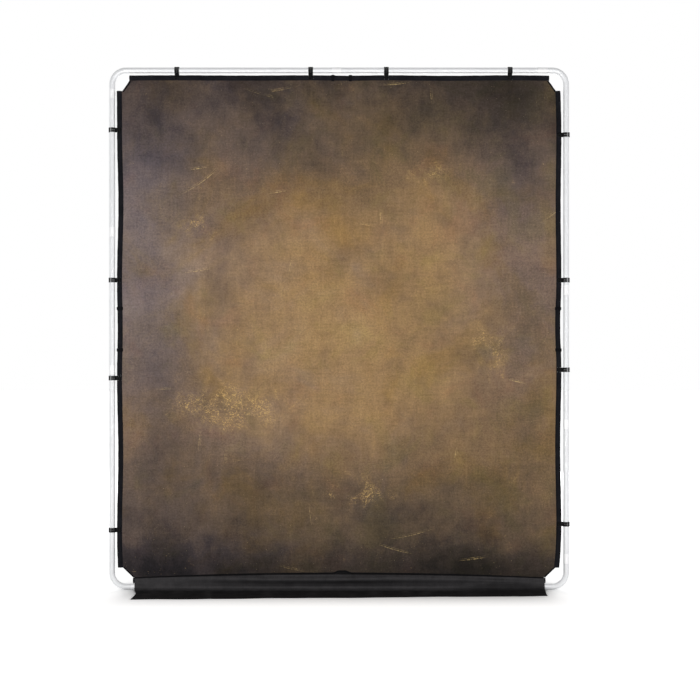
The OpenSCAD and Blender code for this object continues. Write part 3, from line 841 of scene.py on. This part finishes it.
def hem_sleeve(hem, start, stop, phase):
    """A sewn tunnel of cloth: the hem's section carried along the hem, swelling and thinning in slow
    waves, turned in at both ends and lined by the channel for the batten."""
    length = stop - start
    count = max(6, int(length / 0.011))
    w = np.concatenate([[0, 0.0006, 0.002], np.linspace(0.004, length - 0.004, count)])
    w = np.concatenate([w, length - np.array([0.002, 0.0006, 0])])
    fold_in = np.ones(len(w))
    fold_in[:3] = fold_in[:-4:-1] = [0.90, 0.96, 0.99]
    turn = np.arctan2(HEM_SECTION[:, 1], HEM_SECTION[:, 0])
    place = (w + start)[:, None]
    swell = sum(
        tall * np.sin(pitch * place + turns * turn + slip * phase) for tall, pitch, turns, slip in HEM_WAVES)
    near_end = smooth_step(np.minimum(w, length - w) / 0.02)[:, None]
    size = fold_in[:, None] * (1 + swell * near_end)
    outside = hem.spot(HEM_SECTION[:, 0] * size, HEM_SECTION[:, 1] * size, place)
    back = np.linspace(stop, start, 4)[:, None]
    inside = hem.spot(CHANNEL_R * np.cos(turn), CHANNEL_R * np.sin(turn), back)
    grid = np.concatenate([outside, inside])
    step = np.linalg.norm(np.diff(HEM_SECTION, axis=0, append=HEM_SECTION[:1]), axis=1)
    v = np.concatenate([place[:, 0], back[:, 0], place[:1, 0]])
    return skin(grid, True, True, np.append(0, np.cumsum(step)), v)


# Section of the tape along a hem's sewn edge, in millimetres
TAPE_SECTION = rounded(np.array([[-6.4, -1.2], [-6.4, 1.2], [-11.6, 1.4], [-11.6, -1.4]])) / 1000


def seam_tape(hem, phase):
    """A flat tape along the sewn edge from end to end of a hem, a little uneven."""
    w = np.linspace(hem.ends[0], hem.ends[1], int((hem.ends[1] - hem.ends[0]) / 0.012))[:, None]
    drift = 0.00012 * np.sin(47 * w + phase) + 0.00008 * np.sin(170 * w + 2 * phase)
    rings = hem.spot(TAPE_SECTION[:, 0] + drift, TAPE_SECTION[:, 1], w)
    return capped(rings, np.arange(len(TAPE_SECTION) + 1) * 0.0008, w[:, 0])


def stitch_row(hem, side):
    """A row of stitches on one side of a hem: small pillows along it, each a squared circle drawn out
    along the thread."""
    length, width, height = 0.0040, 0.0009, 0.0005
    from_axis, from_middle, pitch, margin = -0.0100, 0.0014, 0.0062, 0.006
    t = np.array([-1.0, -0.8, -0.3, 0.3, 0.8, 1.0])[:, None]
    swell = np.array([0.25, 0.75, 1.0, 1.0, 0.75, 0.25])[:, None]
    turn = np.arange(6) * TURN / 6
    outward_part = (width / 2 * swell * np.cos(turn))[..., None] * hem.out
    rear_part = (height * swell * np.sin(turn))[..., None] * REAR
    along_part = (length / 2 * t + 0 * turn)[..., None] * hem.along
    one = outward(capped(outward_part + rear_part + along_part))
    places = np.arange(hem.ends[0] + margin, hem.ends[1] - margin, pitch)
    return copies(one, hem.spot(from_axis, side * from_middle, places))


def keeper_band(hem, place):
    """A band of webbing round a hem: its section grown outwards, carried across the band and lined."""
    away = HEM_SECTION / np.linalg.norm(HEM_SECTION, axis=1, keepdims=True)
    edge = np.array([0, 0.4, 1.2, 3.5, 7.5, 11.5, 13.8, 14.6, 15.0]) / 1000
    grow = np.array([0.8, 1.6, 2.3, 2.9, 3.1, 2.9, 2.3, 1.6, 0.8])[:, None, None] / 1000
    outer = HEM_SECTION + away * grow
    inner = HEM_SECTION + away * 0.0002
    w = place - KEEPER_LEN / 2 + edge[:, None]
    outside = hem.spot(outer[..., 0], outer[..., 1], w)
    inside = hem.spot(inner[:, 0], inner[:, 1], w[[-1, 0]])
    v = np.concatenate([edge, edge[[-1, 0]], edge[:1]])
    return skin(np.concatenate([outside, inside]), True, True, np.arange(len(HEM_SECTION) + 1) * 0.0011, v)


def rod(hem, start, stop, radius):
    """A round rod along a hem, with broken end edges."""
    edge, around = 0.0004, 20
    w = np.concatenate([[start, start + edge], np.linspace(start, stop, 60)[1:-1], [stop - edge, stop]])
    r = np.full(len(w), radius)
    r[[0, -1]] -= edge
    return capped(hem.rings(w, r, around), np.arange(around + 1) * radius * TURN / around, w)


def lined_rod(hem, start, stop, radius, bore):
    """A thin sleeve along a hem: out along the outside and back along the bore."""
    rows, around = 12, 24
    w = np.linspace(start, stop, rows)
    w = np.append(w, w[::-1])
    r = np.repeat([radius, bore], rows)
    return skin(hem.rings(w, r, around), True, True, np.arange(around + 1) * 0.001, np.append(w, w[0]))


# A cap as distance from its end and radius, in millimetres: the outside with a rounded rim, then the bore to
# its floor
CAP_PROFILE = np.array([
    [0, 3.6], [0, 4.2], [0.6, 4.85], [2, 4.85], [8, 4.85], [13.4, 4.85], [14, 4.6], [14, 4.1], [8, 4.1],
    [2, 4.1]]) / 1000


def end_cap(hem, end, way):
    """A cap over a batten's end."""
    return capped(hem.rings(end + way * CAP_PROFILE[:, 0], CAP_PROFILE[:, 1], 24))


def make_battens():
    """The two battens in each hem, the sleeve that joins them and the caps on their outer ends."""
    caps = []
    cap_inset = 0.001
    for hem in HEMS:
        low, high = hem.reach("battens")
        first, last = hem.reach("joiner")
        meet = (first + last) / 2
        rods = [rod(hem, low, meet - JOINT_GAP / 2, BATTEN_R), rod(hem, meet + JOINT_GAP / 2, high, BATTEN_R)]
        piece(hem.side + "_batten_rods", rods, BATTEN, [hem.side + "_battens"])
        joiner = lined_rod(hem, first, last, JOINER_R, JOINER_BORE_R)
        piece(hem.side + "_batten_joiner", [joiner], JOINER, [hem.side + "_joiner"])
        caps += [end_cap(hem, hem.ends[0] + cap_inset, 1), end_cap(hem, hem.ends[1] - cap_inset, -1)]
    piece("batten_end_caps", caps, CAP, ["batten_caps"])


def make_hems():
    """Each hem's sleeves, tape, stitches and keeper bands."""
    for number, hem in enumerate(HEMS):
        phase = 1.3 + 2.1 * number
        sleeves = [hem_sleeve(hem, a, b, phase + k) for k, (a, b) in enumerate(hem_stretches(hem))]
        piece(hem.side + "_hem_sleeve", sleeves + [seam_tape(hem, phase)], HEM, [hem.side + "_hem"])
        rows = [stitch_row(hem, side) for side in (-1, 1)]
        piece(hem.side + "_hem_stitches", rows, THREAD, body="cover")
        bands = [keeper_band(hem, place) for place in hem.keepers]
        piece(hem.side + "_keeper_bands", bands, TRIM, [hem.side + "_keepers"])


# Clips


HOOK_STATIONS = 96


def hook_outline():
    """Outer and inner edge of the hook in the hem's directions, in millimetres and in step with each
    other: a straight neck from the eye, a half circle over the front of the tube, and a straight leg with
    a thinned tip."""
    reach, rise, inner_r, outer_r, leg_len = 31.5, 0.4, 13.3, 16.0, 4.1
    jaw_share, rest_share = 0.8, 0.2
    start_out, start_in, jaw = np.array([[5.7, -3.0], [5.7, 2.0], [18.2, 2.0]])
    t = np.linspace(0, 3, HOOK_STATIONS)
    neck, bow, leg = (np.clip(t - n, 0, 1) for n in (0, 1, 2))
    meet = np.arcsin((rise - start_out[1]) / outer_r)

    def arc(radius, turn):
        return np.stack([reach + radius * np.cos(turn), rise + radius * np.sin(turn) + leg_len * leg], -1)

    arc_out = arc(outer_r, np.pi + meet + bow * (np.pi - meet))
    arc_in = arc(inner_r, np.pi + bow * np.pi)
    neck = neck[:, None]
    to_jaw = start_in + (jaw - start_in) * neck / jaw_share
    past_jaw = jaw + (arc_in[0] - jaw) * (neck - jaw_share) / rest_share
    line_out = start_out + (arc_out[0] - start_out) * neck
    on_neck = t[:, None] < 1
    outer = np.where(on_neck, line_out, arc_out)
    inner = np.where(on_neck, np.where(neck < jaw_share, to_jaw, past_jaw), arc_in)
    tip = 0.55 * smooth_step((leg - 0.6) / 0.4)[:, None] * [1, 0]
    return outer - 1.5 * tip, inner + 0.6 * tip


# Across the hook, in millimetres: place along the clip, 1 for the outer edge or 0 for the inner, and depth
# below that edge
HOOK_RIM = np.array([
    [-10, 1, 0.75], [-9.8, 1, 0.25], [-9.25, 1, 0], [-7.4, 1, 0], [-6.9, 1, 0.45], [-2.0, 1, 0.45],
    [-1.6, 1, 0.1], [1.6, 1, 0.1], [2.0, 1, 0.45], [6.9, 1, 0.45], [7.4, 1, 0], [9.25, 1, 0], [9.8, 1, 0.25],
    [10, 1, 0.75], [10, 0, 0.6], [9.8, 0, 0.2], [9.4, 0, 0], [-9.4, 0, 0], [-9.8, 0, 0.2], [-10, 0, 0.6]])


def clip_hook(hem, place):
    """The hook: its outline's two edges, ribbed outside and with rounded rims, carried across the clip."""
    outer, inner = hook_outline()
    thick = outer - inner
    thick = (thick / np.linalg.norm(thick, axis=1, keepdims=True))[:, None]
    along, on_outer, depth = (HOOK_RIM[:, n][None, :, None] for n in (0, 1, 2))
    edge = np.where(on_outer == 1, outer[:, None] - thick * depth, inner[:, None] + thick * depth)
    return capped(hem.spot(edge[..., 0] / 1000, edge[..., 1] / 1000, place + along[..., 0] / 1000))


# How strong the painted highlights on the clips are, in the order of the hem: most on the sides of the ring
CLIP_GLINTS = {
    "top": (0.25, 0.15, 0.15, 0.15), "left": (0.9, 1.0, 0.9, 0.35), "right": (0.9, 1.0, 1.0, 0.35)}


def hook_glints(glint_strength):
    """Painted highlights on the hook, standing in for glints of light on the glossy plastic: a bell across
    its whole front where it turns round the tube, and two weaker ones on the raised ribs before that. The two
    end fans' middles have none."""
    t = np.linspace(0, 3, HOOK_STATIONS)[:, None]
    front = HOOK_RIM[:, 1] * (np.abs(HOOK_RIM[:, 0]) < 9.5)
    raised = front * (HOOK_RIM[:, 2] < 0.2)
    turned = bell((t - 1.57) / 0.042) * (0.65 * front + 0.35 * raised)
    before = 0.5 * (bell((t - 1.25) / 0.04) + bell((t - 1.42) / 0.04)) * raised
    return np.append(glint_strength * (turned + before).ravel(), [0.0, 0.0])


# The eye as place along the clip and radius, in millimetres: a ring with rounded rims
EYE_PROFILE = np.array([
    [-10, 6.0], [-9.8, 6.35], [-9.3, 6.55], [9.3, 6.55], [9.8, 6.35], [10, 6.0], [10, 4.6], [9.6, 4.2],
    [-9.6, 4.2], [-10, 4.6]]) / 1000


def clip_eye(hem, place):
    """The eye round the batten."""
    return skin(hem.rings(place + EYE_PROFILE[:, 0], EYE_PROFILE[:, 1], 40), True, True)


def make_clips():
    """The twelve clips, each a hook and an eye."""
    for hem in HEMS:
        for (name, place), glint_strength in zip(hem.clips.items(), CLIP_GLINTS.get(hem.side, ())):
            hook, eye = clip_hook(hem, place), clip_eye(hem, place)
            # The mark holds painted highlights on each hook and none on its eye
            marks = {"wear_and_glint": np.append(hook_glints(glint_strength), np.zeros(len(eye[0])))}
            piece(name.replace("clip", "hook_clip"), [hook, eye], CLIP, [name], sharp=30, marks=marks)


# Printed panel


CORNER_RISE, CORNER_DROP = 0.05025, 0.0515
FOOT_HALF, TOP_HALF = 0.8925, 0.9085
PANEL_TUCK, TUCK_RUN = 0.002, 0.02
PANEL_MIDDLE_Z = 1.13


def panel_half_width(z):
    """Half of the panel's width at a height: full, but cut on the diagonal at both ends."""
    low, high, wide = PANEL_LOW[2], PANEL_HIGH[2], PANEL_HIGH[0]
    return np.interp(z, [low, low + CORNER_RISE, high - CORNER_DROP, high], [FOOT_HALF, wide, wide, TOP_HALF])


def panel_relief(x, z):
    """How far the cloth stands off its plane: long shallow pulls from the clips, bent creases anywhere,
    slack waves under the top hem and low swells, all dying out at the sewn edges."""
    draw = np.random.default_rng(41)
    relief = np.zeros(np.broadcast(x, z).shape)
    for hem, place in [(hem, place) for hem in HEMS for place in hem.clips.values()]:
        start = hem.spot(-0.011, 0.0, place)
        inward = -hem.out + draw.uniform(-0.5, 0.5) * hem.along
        inward = inward / np.linalg.norm(inward)
        run = (x - start[0]) * inward[0] + (z - start[2]) * inward[2]
        off = (x - start[0]) * inward[2] - (z - start[2]) * inward[0]
        reach = draw.uniform(0.10, 0.22)
        wide = 0.010 + 0.10 * np.maximum(run, 0)
        relief += draw.uniform(0.0006, 0.0014) * bell(off / wide, run / reach)
    for _ in range(16):
        here = np.array([draw.uniform(-0.8, 0.8), draw.uniform(0.2, 2.05)])
        turn = draw.uniform(-0.5, 0.5) + (np.pi / 2 if draw.random() < 0.4 else 0)
        run = (x - here[0]) * np.cos(turn) + (z - here[1]) * np.sin(turn)
        off = (z - here[1]) * np.cos(turn) - (x - here[0]) * np.sin(turn)
        bend = off - draw.uniform(-0.4, 0.4) * run**2
        tall = draw.uniform(-0.0010, 0.0013)
        relief += tall * bell(run / draw.uniform(0.14, 0.35), bend / 0.022)
    slack = bell((PANEL_HIGH[2] - z - 0.05) / 0.045)
    relief += 0.0011 * slack * np.sin(31 * x + 3 * np.sin(7 * x)) * (0.6 + 0.4 * np.sin(5 * x + 1))
    relief += 0.0012 * np.sin(4.1 * x + 0.7) * np.sin(3.3 * z + 1.1)
    inside = np.minimum(panel_half_width(z) - np.abs(x), np.minimum(z - PANEL_LOW[2], PANEL_HIGH[2] - z))
    return relief * smooth_step(inside / 0.03)


def make_panel():
    """The printed panel: an eight-sided grid with its relief, tucked into the hems' tapes."""
    low, high = PANEL_LOW[2], PANEL_HIGH[2]
    z = np.concatenate([
        np.linspace(low, low + CORNER_RISE, 7)[:-1], np.linspace(low + CORNER_RISE, high - CORNER_DROP, 206),
        np.linspace(high - CORNER_DROP, high, 7)[1:]])[:, None]
    u = np.linspace(-1, 1, 181)[None, :]
    x = u * panel_half_width(z)
    y = RING_Y - panel_relief(x, z)
    drawn = LEFT.bow(z) * (1 - u) / 2 - RIGHT_HEM.bow(z) * (1 + u) / 2
    x = x * (1 + PANEL_TUCK) + drawn * np.abs(u)
    at_top = smooth_step((z - high + TUCK_RUN) / TUCK_RUN)
    at_foot = smooth_step((low + TUCK_RUN - z) / TUCK_RUN)
    z = z + PANEL_TUCK * at_top - PANEL_TUCK * at_foot
    z = z - TOP.bow(x) * smooth_step((z - low) / (high - low))
    mid = np.stack(np.broadcast_arrays(x, y, z), -1)
    shell = cloth(mid, np.full(mid.shape[:2], CLOTH_HALF), mid[..., 0], mid[..., 2])
    rear = np.repeat([0.0, 1.0], mid.shape[0] * mid.shape[1])
    panel = piece("printed_panel", [shell], CANVAS, ["backdrop_panel"], marks={"rear": rear})


def corner_binding(first, second, phase):
    """A folded tape over a diagonal edge: a flattened round section carried along the cut."""
    section = rounded(np.array([[1.2, -1.4], [1.2, 1.4], [-6.0, 1.5], [-6.0, -1.5]])) / 1000
    margin = 0.003
    length = np.linalg.norm(second - first)
    way = (second - first) / length
    out = np.cross(way, REAR)
    out = out * np.sign(out @ (first + second - 2 * at(0, PANEL_MIDDLE_Z)))
    s = np.linspace(margin, length - margin, 20)[:, None, None]
    drift = 0.0002 * np.sin(200 * s + phase)
    return capped(first + s * way + (section[:, :1] + drift) * out + section[:, 1:] * REAR)


def make_bindings():
    """The four bound corners of the panel."""
    wide, low, high = PANEL_HIGH[0], PANEL_LOW[2], PANEL_HIGH[2]
    cuts = [(FOOT_HALF, low, low + CORNER_RISE), (TOP_HALF, high, high - CORNER_DROP)]
    strips = [
        corner_binding(at(side * half, end), at(side * wide, start), side + end)
        for half, end, start in cuts for side in (-1, 1)]
    piece("corner_tapes", strips, TRIM, ["corner_bindings"])


# Floor flap: U runs across it from -1 to 1, and its front is how far it stands before the ring

# Half widths at the seam and at the front edge, reaches on the floor, and heights and fronts of the fall
SEAM_LEFT, SEAM_RIGHT = 0.889, 0.892
FRONT_LEFT, FRONT_RIGHT = 0.868, 0.885
TAPER_RUN = 0.12
REACH_LEFT, REACH_RIGHT = 0.247, 0.162
SEAM_Z, SEAM_ARCH = 0.0530, 0.0210
HUMP_TALL, HUMP_AT, HUMP_WIDE = 0.009, 0.014, 0.034
SEAM_FRONT, HEM_SWELL, HEM_FRONT, TUBE_FRONT = 0.0020, 0.0074, 0.0094, 0.0150
CREASE_AT, CREASE_WIDE, CREASE_Z, CREASE_SLOPE = 0.74, 0.16, 0.0460, 0.03
FOLD_FRONT, FOLD_TALL = 0.0042, 0.0050
FLOOR_Z = 0.0010
FILLET = 0.034
FLAP_HEM, FLAP_HEM_HALF = 0.016, 0.0004


def flap_folds(u, s):
    """Height of the soft folds at a place u across the flap and s from the tube to the front edge: narrow
    bells at uneven places that lean to one side and die out along the cloth."""
    draw = np.random.default_rng(17)
    folds = np.zeros(np.broadcast(u, s).shape)
    for centre in np.linspace(-0.93, 0.93, 13):
        centre = centre + draw.uniform(-0.05, 0.05)
        lean = draw.uniform(-0.10, 0.10)
        wide = draw.uniform(0.018, 0.045)
        tall = draw.uniform(0.25, 1.0)
        fade = draw.uniform(0.6, 1.6)
        folds += tall * bell((u - centre - lean * s) / wide) * bell(s / fade)
    return folds


def seam_line(u):
    """Height of the seam, arched with a short hump near the middle, and width of the dark band of painted
    shade below it.
    """
    arch = 1 - u**2
    hump = HUMP_TALL * np.exp(-(((u - HUMP_AT) / HUMP_WIDE) ** 4))
    return SEAM_Z + SEAM_ARCH * arch + hump, 0.0045 + 0.0035 * arch + hump


def crease_line(u):
    """A slanted crease towards the right end: how far u is from its middle, and its height."""
    return (u - CREASE_AT) / CREASE_WIDE, CREASE_Z - CREASE_SLOPE * (u - CREASE_AT)


def middle_share(u):
    """1 near the flap's middle, falling to 0 at eight tenths of its half width."""
    return np.maximum(1 - ((u + 0.03) / 0.80) ** 2, 0)


def flap_fall(u, fold):
    """Front and height of the fall from the seam to the tube: out over the hem's swell and the tube with
    the tops of the folds, with a crease on the right and a slack roll across the middle."""
    seam_z, _ = seam_line(u)
    t = np.linspace(0, 1, 34)[:, None]
    z = seam_z + (LOW_Z - seam_z) * t
    drop = seam_z - z
    over_hem = HEM_SWELL * smooth_step(drop / 0.008)
    dip = 0.0010 * bell((z - 0.030) / 0.005)
    over_tube = (TUBE_FRONT - HEM_FRONT) * smooth_step((0.029 - z) / 0.0155)
    from_crease, crease_z = crease_line(u)
    ridge = 0.004 * bell((z - crease_z + 0.006) / 0.007, from_crease)
    slack = 0.022 * middle_share(u)**1.2 * (1 + 0.2 * np.sin(11 * u + 0.4))
    from_roll = z - 0.050 - 0.003 * np.sin(7 * u)
    roll = bell(from_roll / np.where(from_roll > 0, 0.010, 0.019))
    held_in = smooth_step((z - LOW_Z) / 0.008)
    front = SEAM_FRONT + over_hem - dip + over_tube + fold * smooth_step(t * 1.2) + ridge
    return front + slack * roll * smooth_step(drop / 0.014) * held_in, z


def flap_shadow(u, front, z, tube_front, rise):
    """How much shade is painted on the cloth: a dark band below the seam, the floor part, darker than the
    upright part and paler on the folds' crests as a painted sheen, the hollow under the slack roll, a sweep
    that rises to the right and the crease. The darkest of them counts."""
    seam_z, tape = seam_line(u)
    from_crease, crease_z = crease_line(u)
    # Crests of the folds on the floor keep less of the painted shade, as a painted sheen
    crests = np.zeros(z.shape)
    crests[-len(rise):] = np.minimum(rise, 1)
    # Painted shade: the part on the floor is darker than the upright part, as light falls along it at a graze
    floor_shade = 0.60 * smooth_step((front - tube_front - 0.4 * FILLET) / FILLET) * (1 - 0.9 * crests)
    # Painted shade in the hollow under the slack roll
    hollow = 0.66 * middle_share(u)**0.7 * smooth_step((0.050 - z) / 0.012) * smooth_step((z - 0.012) / 0.008)
    # Painted shade in a sweep that rises to the right
    to_right = smooth_step((u - 0.45) / 0.30)
    swept_z = 0.032 * to_right * (1 - 0.45 * smooth_step((u - 0.85) / 0.15))
    swept_shade = 0.62 * to_right * smooth_step((swept_z - z) / 0.026 + 0.5)
    # Painted shade along the crease
    crease = 0.42 * bell((z - crease_z) / 0.005, from_crease)
    # Painted shade: a dark band below the seam
    painted_shade = smooth_step((tape - seam_z + z) / 0.002 + 0.5)
    return np.max([floor_shade, hollow, swept_shade, crease, painted_shade], axis=0)


def make_flap():
    """The floor flap: from a seam that arches on the panel's front, down over the hem and the tube, round
    an easy curve and out along the floor to an uneven front edge; a doubled hem runs round its free
    edges."""
    u = np.linspace(-1, 1, 281)[None, :]
    fold = FOLD_FRONT * flap_folds(u, np.zeros((1, 1)))
    tube_front = TUBE_FRONT + fold
    fall_front, fall_z = flap_fall(u, fold)

    a = np.linspace(0, np.pi / 2, 16)[1:, None]
    bend_front = tube_front + FILLET * (1 - np.cos(a))
    bend_z = LOW_Z - (LOW_Z - FLOOR_Z) * np.sin(a) + 0 * u

    s = np.linspace(0, 1, 46)[1:, None]
    reach = (REACH_LEFT + REACH_RIGHT) / 2 - u * (REACH_LEFT - REACH_RIGHT) / 2
    reach = reach + 0.0035 * np.sin(9 * u + 0.8) + 0.002 * np.sin(23 * u)
    floor_front = tube_front + FILLET + (reach - tube_front - FILLET) * s
    rise = flap_folds(u, s) * smooth_step(s / 0.12)
    floor_z = FLOOR_Z + FOLD_TALL * rise * (1 - 0.45 * s)

    front = np.concatenate([fall_front, bend_front, floor_front])
    z = np.concatenate([fall_z, bend_z, floor_z])
    taper = smooth_step(front / TAPER_RUN)
    left_w = SEAM_LEFT + (FRONT_LEFT - SEAM_LEFT) * taper
    right_w = SEAM_RIGHT + (FRONT_RIGHT - SEAM_RIGHT) * taper
    half_w = left_w * (1 - u) / 2 + right_w * (1 + u) / 2
    x = u * half_w + 0.0012 * np.sin(front * 30) * u
    mid = np.stack([x, RING_Y - front, z], -1)
    run = np.cumsum(np.linalg.norm(np.diff(mid, axis=0, prepend=mid[:1]), axis=-1), axis=0)
    to_edge = np.minimum(run[-1:] - run, half_w - np.abs(x))
    half = CLOTH_HALF + FLAP_HEM_HALF * smooth_step((FLAP_HEM - to_edge) / 0.002)
    # The mark carries the painted shade on both faces of the cloth
    marks = {"painted_shade": np.tile(flap_shadow(u, front, z, tube_front, rise).ravel(), 2)}
    shell = cloth(mid, half, x, -run)
    flap = piece("draped_flap", [shell], FLAP, ["floor_flap"], body="blended", marks=marks)
    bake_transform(flap)


make_tubes()
make_sleeves()
make_hems()
make_battens()
make_clips()
make_panel()
make_bindings()
make_flap()

# The spigots stay as solids
for node, solid in frame["nodes"].items():
    if "spigot" in node:
        solid.data.materials.clear()
        solid.data.materials.append(SPIGOT)

# Floor, world, lamps and camera


def looked_at(rays):
    """1 for what the camera, a mirror or glass looks at, and 0 for what only gives light."""
    seen_through = calc("MAXIMUM", rays["Is Glossy Ray"], rays["Is Transmission Ray"])
    return calc("MAXIMUM", rays["Is Camera Ray"], seen_through)


def make_floor():
    """A pale floor that takes the shadow, and adds white to what the camera and mirrors see of it."""
    made, surface, place = finish_named("pale floor")
    rays = put("ShaderNodeLightPath", {}, surface.id_data)
    open_sky = put("ShaderNodeAmbientOcclusion", {"Distance": 0.43}, surface.id_data, samples=16)["AO"]
    away = put("ShaderNodeVectorMath", {0: place["Object"]}, operation="LENGTH")["Value"]
    own = between(away, 1.5, 4.0, 0.78, 1.0)
    # Painted contact shadow: the white added for the camera is darkened by ambient occlusion, fully in front
    # of the ring and much less beside its ends
    depth = between(abs(split(place["Object"])[0]), 0.84, 1.00, 2.05, 0.35)
    white = (open_sky - 1.0) * depth + own
    connect(surface, {
        "Base Color": grey(0.80),
        "Roughness": 0.9,
        "Emission Color": grey(1),
        "Emission Strength": looked_at(rays) * calc("MAXIMUM", white, 0.0)})
    angle = np.arange(97) * TURN / 96
    radius = np.array([0.001, 0.5, 1, 2, 4, 8, 16, 30])[:, None]
    level = -0.0004
    grid = np.stack(np.broadcast_arrays(radius * np.cos(angle), radius * np.sin(angle), level), -1)
    points, quads, _, _, _ = skin(grid[:, ::-1])
    mesh = bpy.data.meshes.new("floor")
    mesh.from_pydata(points.tolist(), [], quads.tolist())
    mesh.materials.append(made)
    floor = bpy.data.objects.new("floor", mesh)
    scene.collection.objects.link(floor)


def make_world():
    """White to the camera, white with a dim ceiling to mirrors, and a softer white as light."""
    world = bpy.data.worlds.new("studio")
    world.use_nodes = True
    tree = world.node_tree
    tree.nodes.clear()
    rays = put("ShaderNodeLightPath", {}, tree)
    way = split(put("ShaderNodeTexCoord", {}, tree)["Generated"])
    mirrored = rays["Is Glossy Ray"] * between(way[2], 0.1, 0.8, 0.0, 0.27)
    strength = looked_at(rays) * 0.89 + 0.11 - mirrored
    back = put("ShaderNodeBackground", {"Color": grey(1), "Strength": strength})
    put("ShaderNodeOutputWorld", {"Surface": back[0]})
    scene.world = world


def lamp(name, place, aim, size, power):
    """A soft lamp of a width and height at a place, turned to face its aim."""
    light = bpy.data.lights.new(name, "AREA")
    light.shape = "RECTANGLE"
    light.size, light.size_y = size
    light.energy = power
    made = bpy.data.objects.new(name, light)
    made.location = place
    made.rotation_euler = (Vector(aim) - Vector(place)).to_track_quat("-Z", "Y").to_euler()
    made.visible_glossy = False
    scene.collection.objects.link(made)


def make_camera():
    """A level camera straight in front, at the photograph's height and distance."""
    view = bpy.data.cameras.new("camera")
    view.sensor_width = 36.0
    view.lens = 70.9
    made = bpy.data.objects.new("camera", view)
    made.location = (0.047, RING_Y - 6.0, 1.042)
    made.rotation_euler = (np.pi / 2, 0, 0)
    scene.collection.objects.link(made)
    scene.camera = made


make_floor()
make_world()
lamp("left lamp", (-2.2, -5.2, 0.95), (0, 0, 1.1), (2.4, 1.5), 158)
lamp("right lamp", (2.2, -5.2, 0.95), (0, 0, 1.1), (2.4, 1.5), 158)
lamp("rear lamp", (0.6, 6.0, 1.9), (0, 0, 1.1), (3.0, 3.0), 210)
make_camera()
scene.view_settings.view_transform = "Standard"
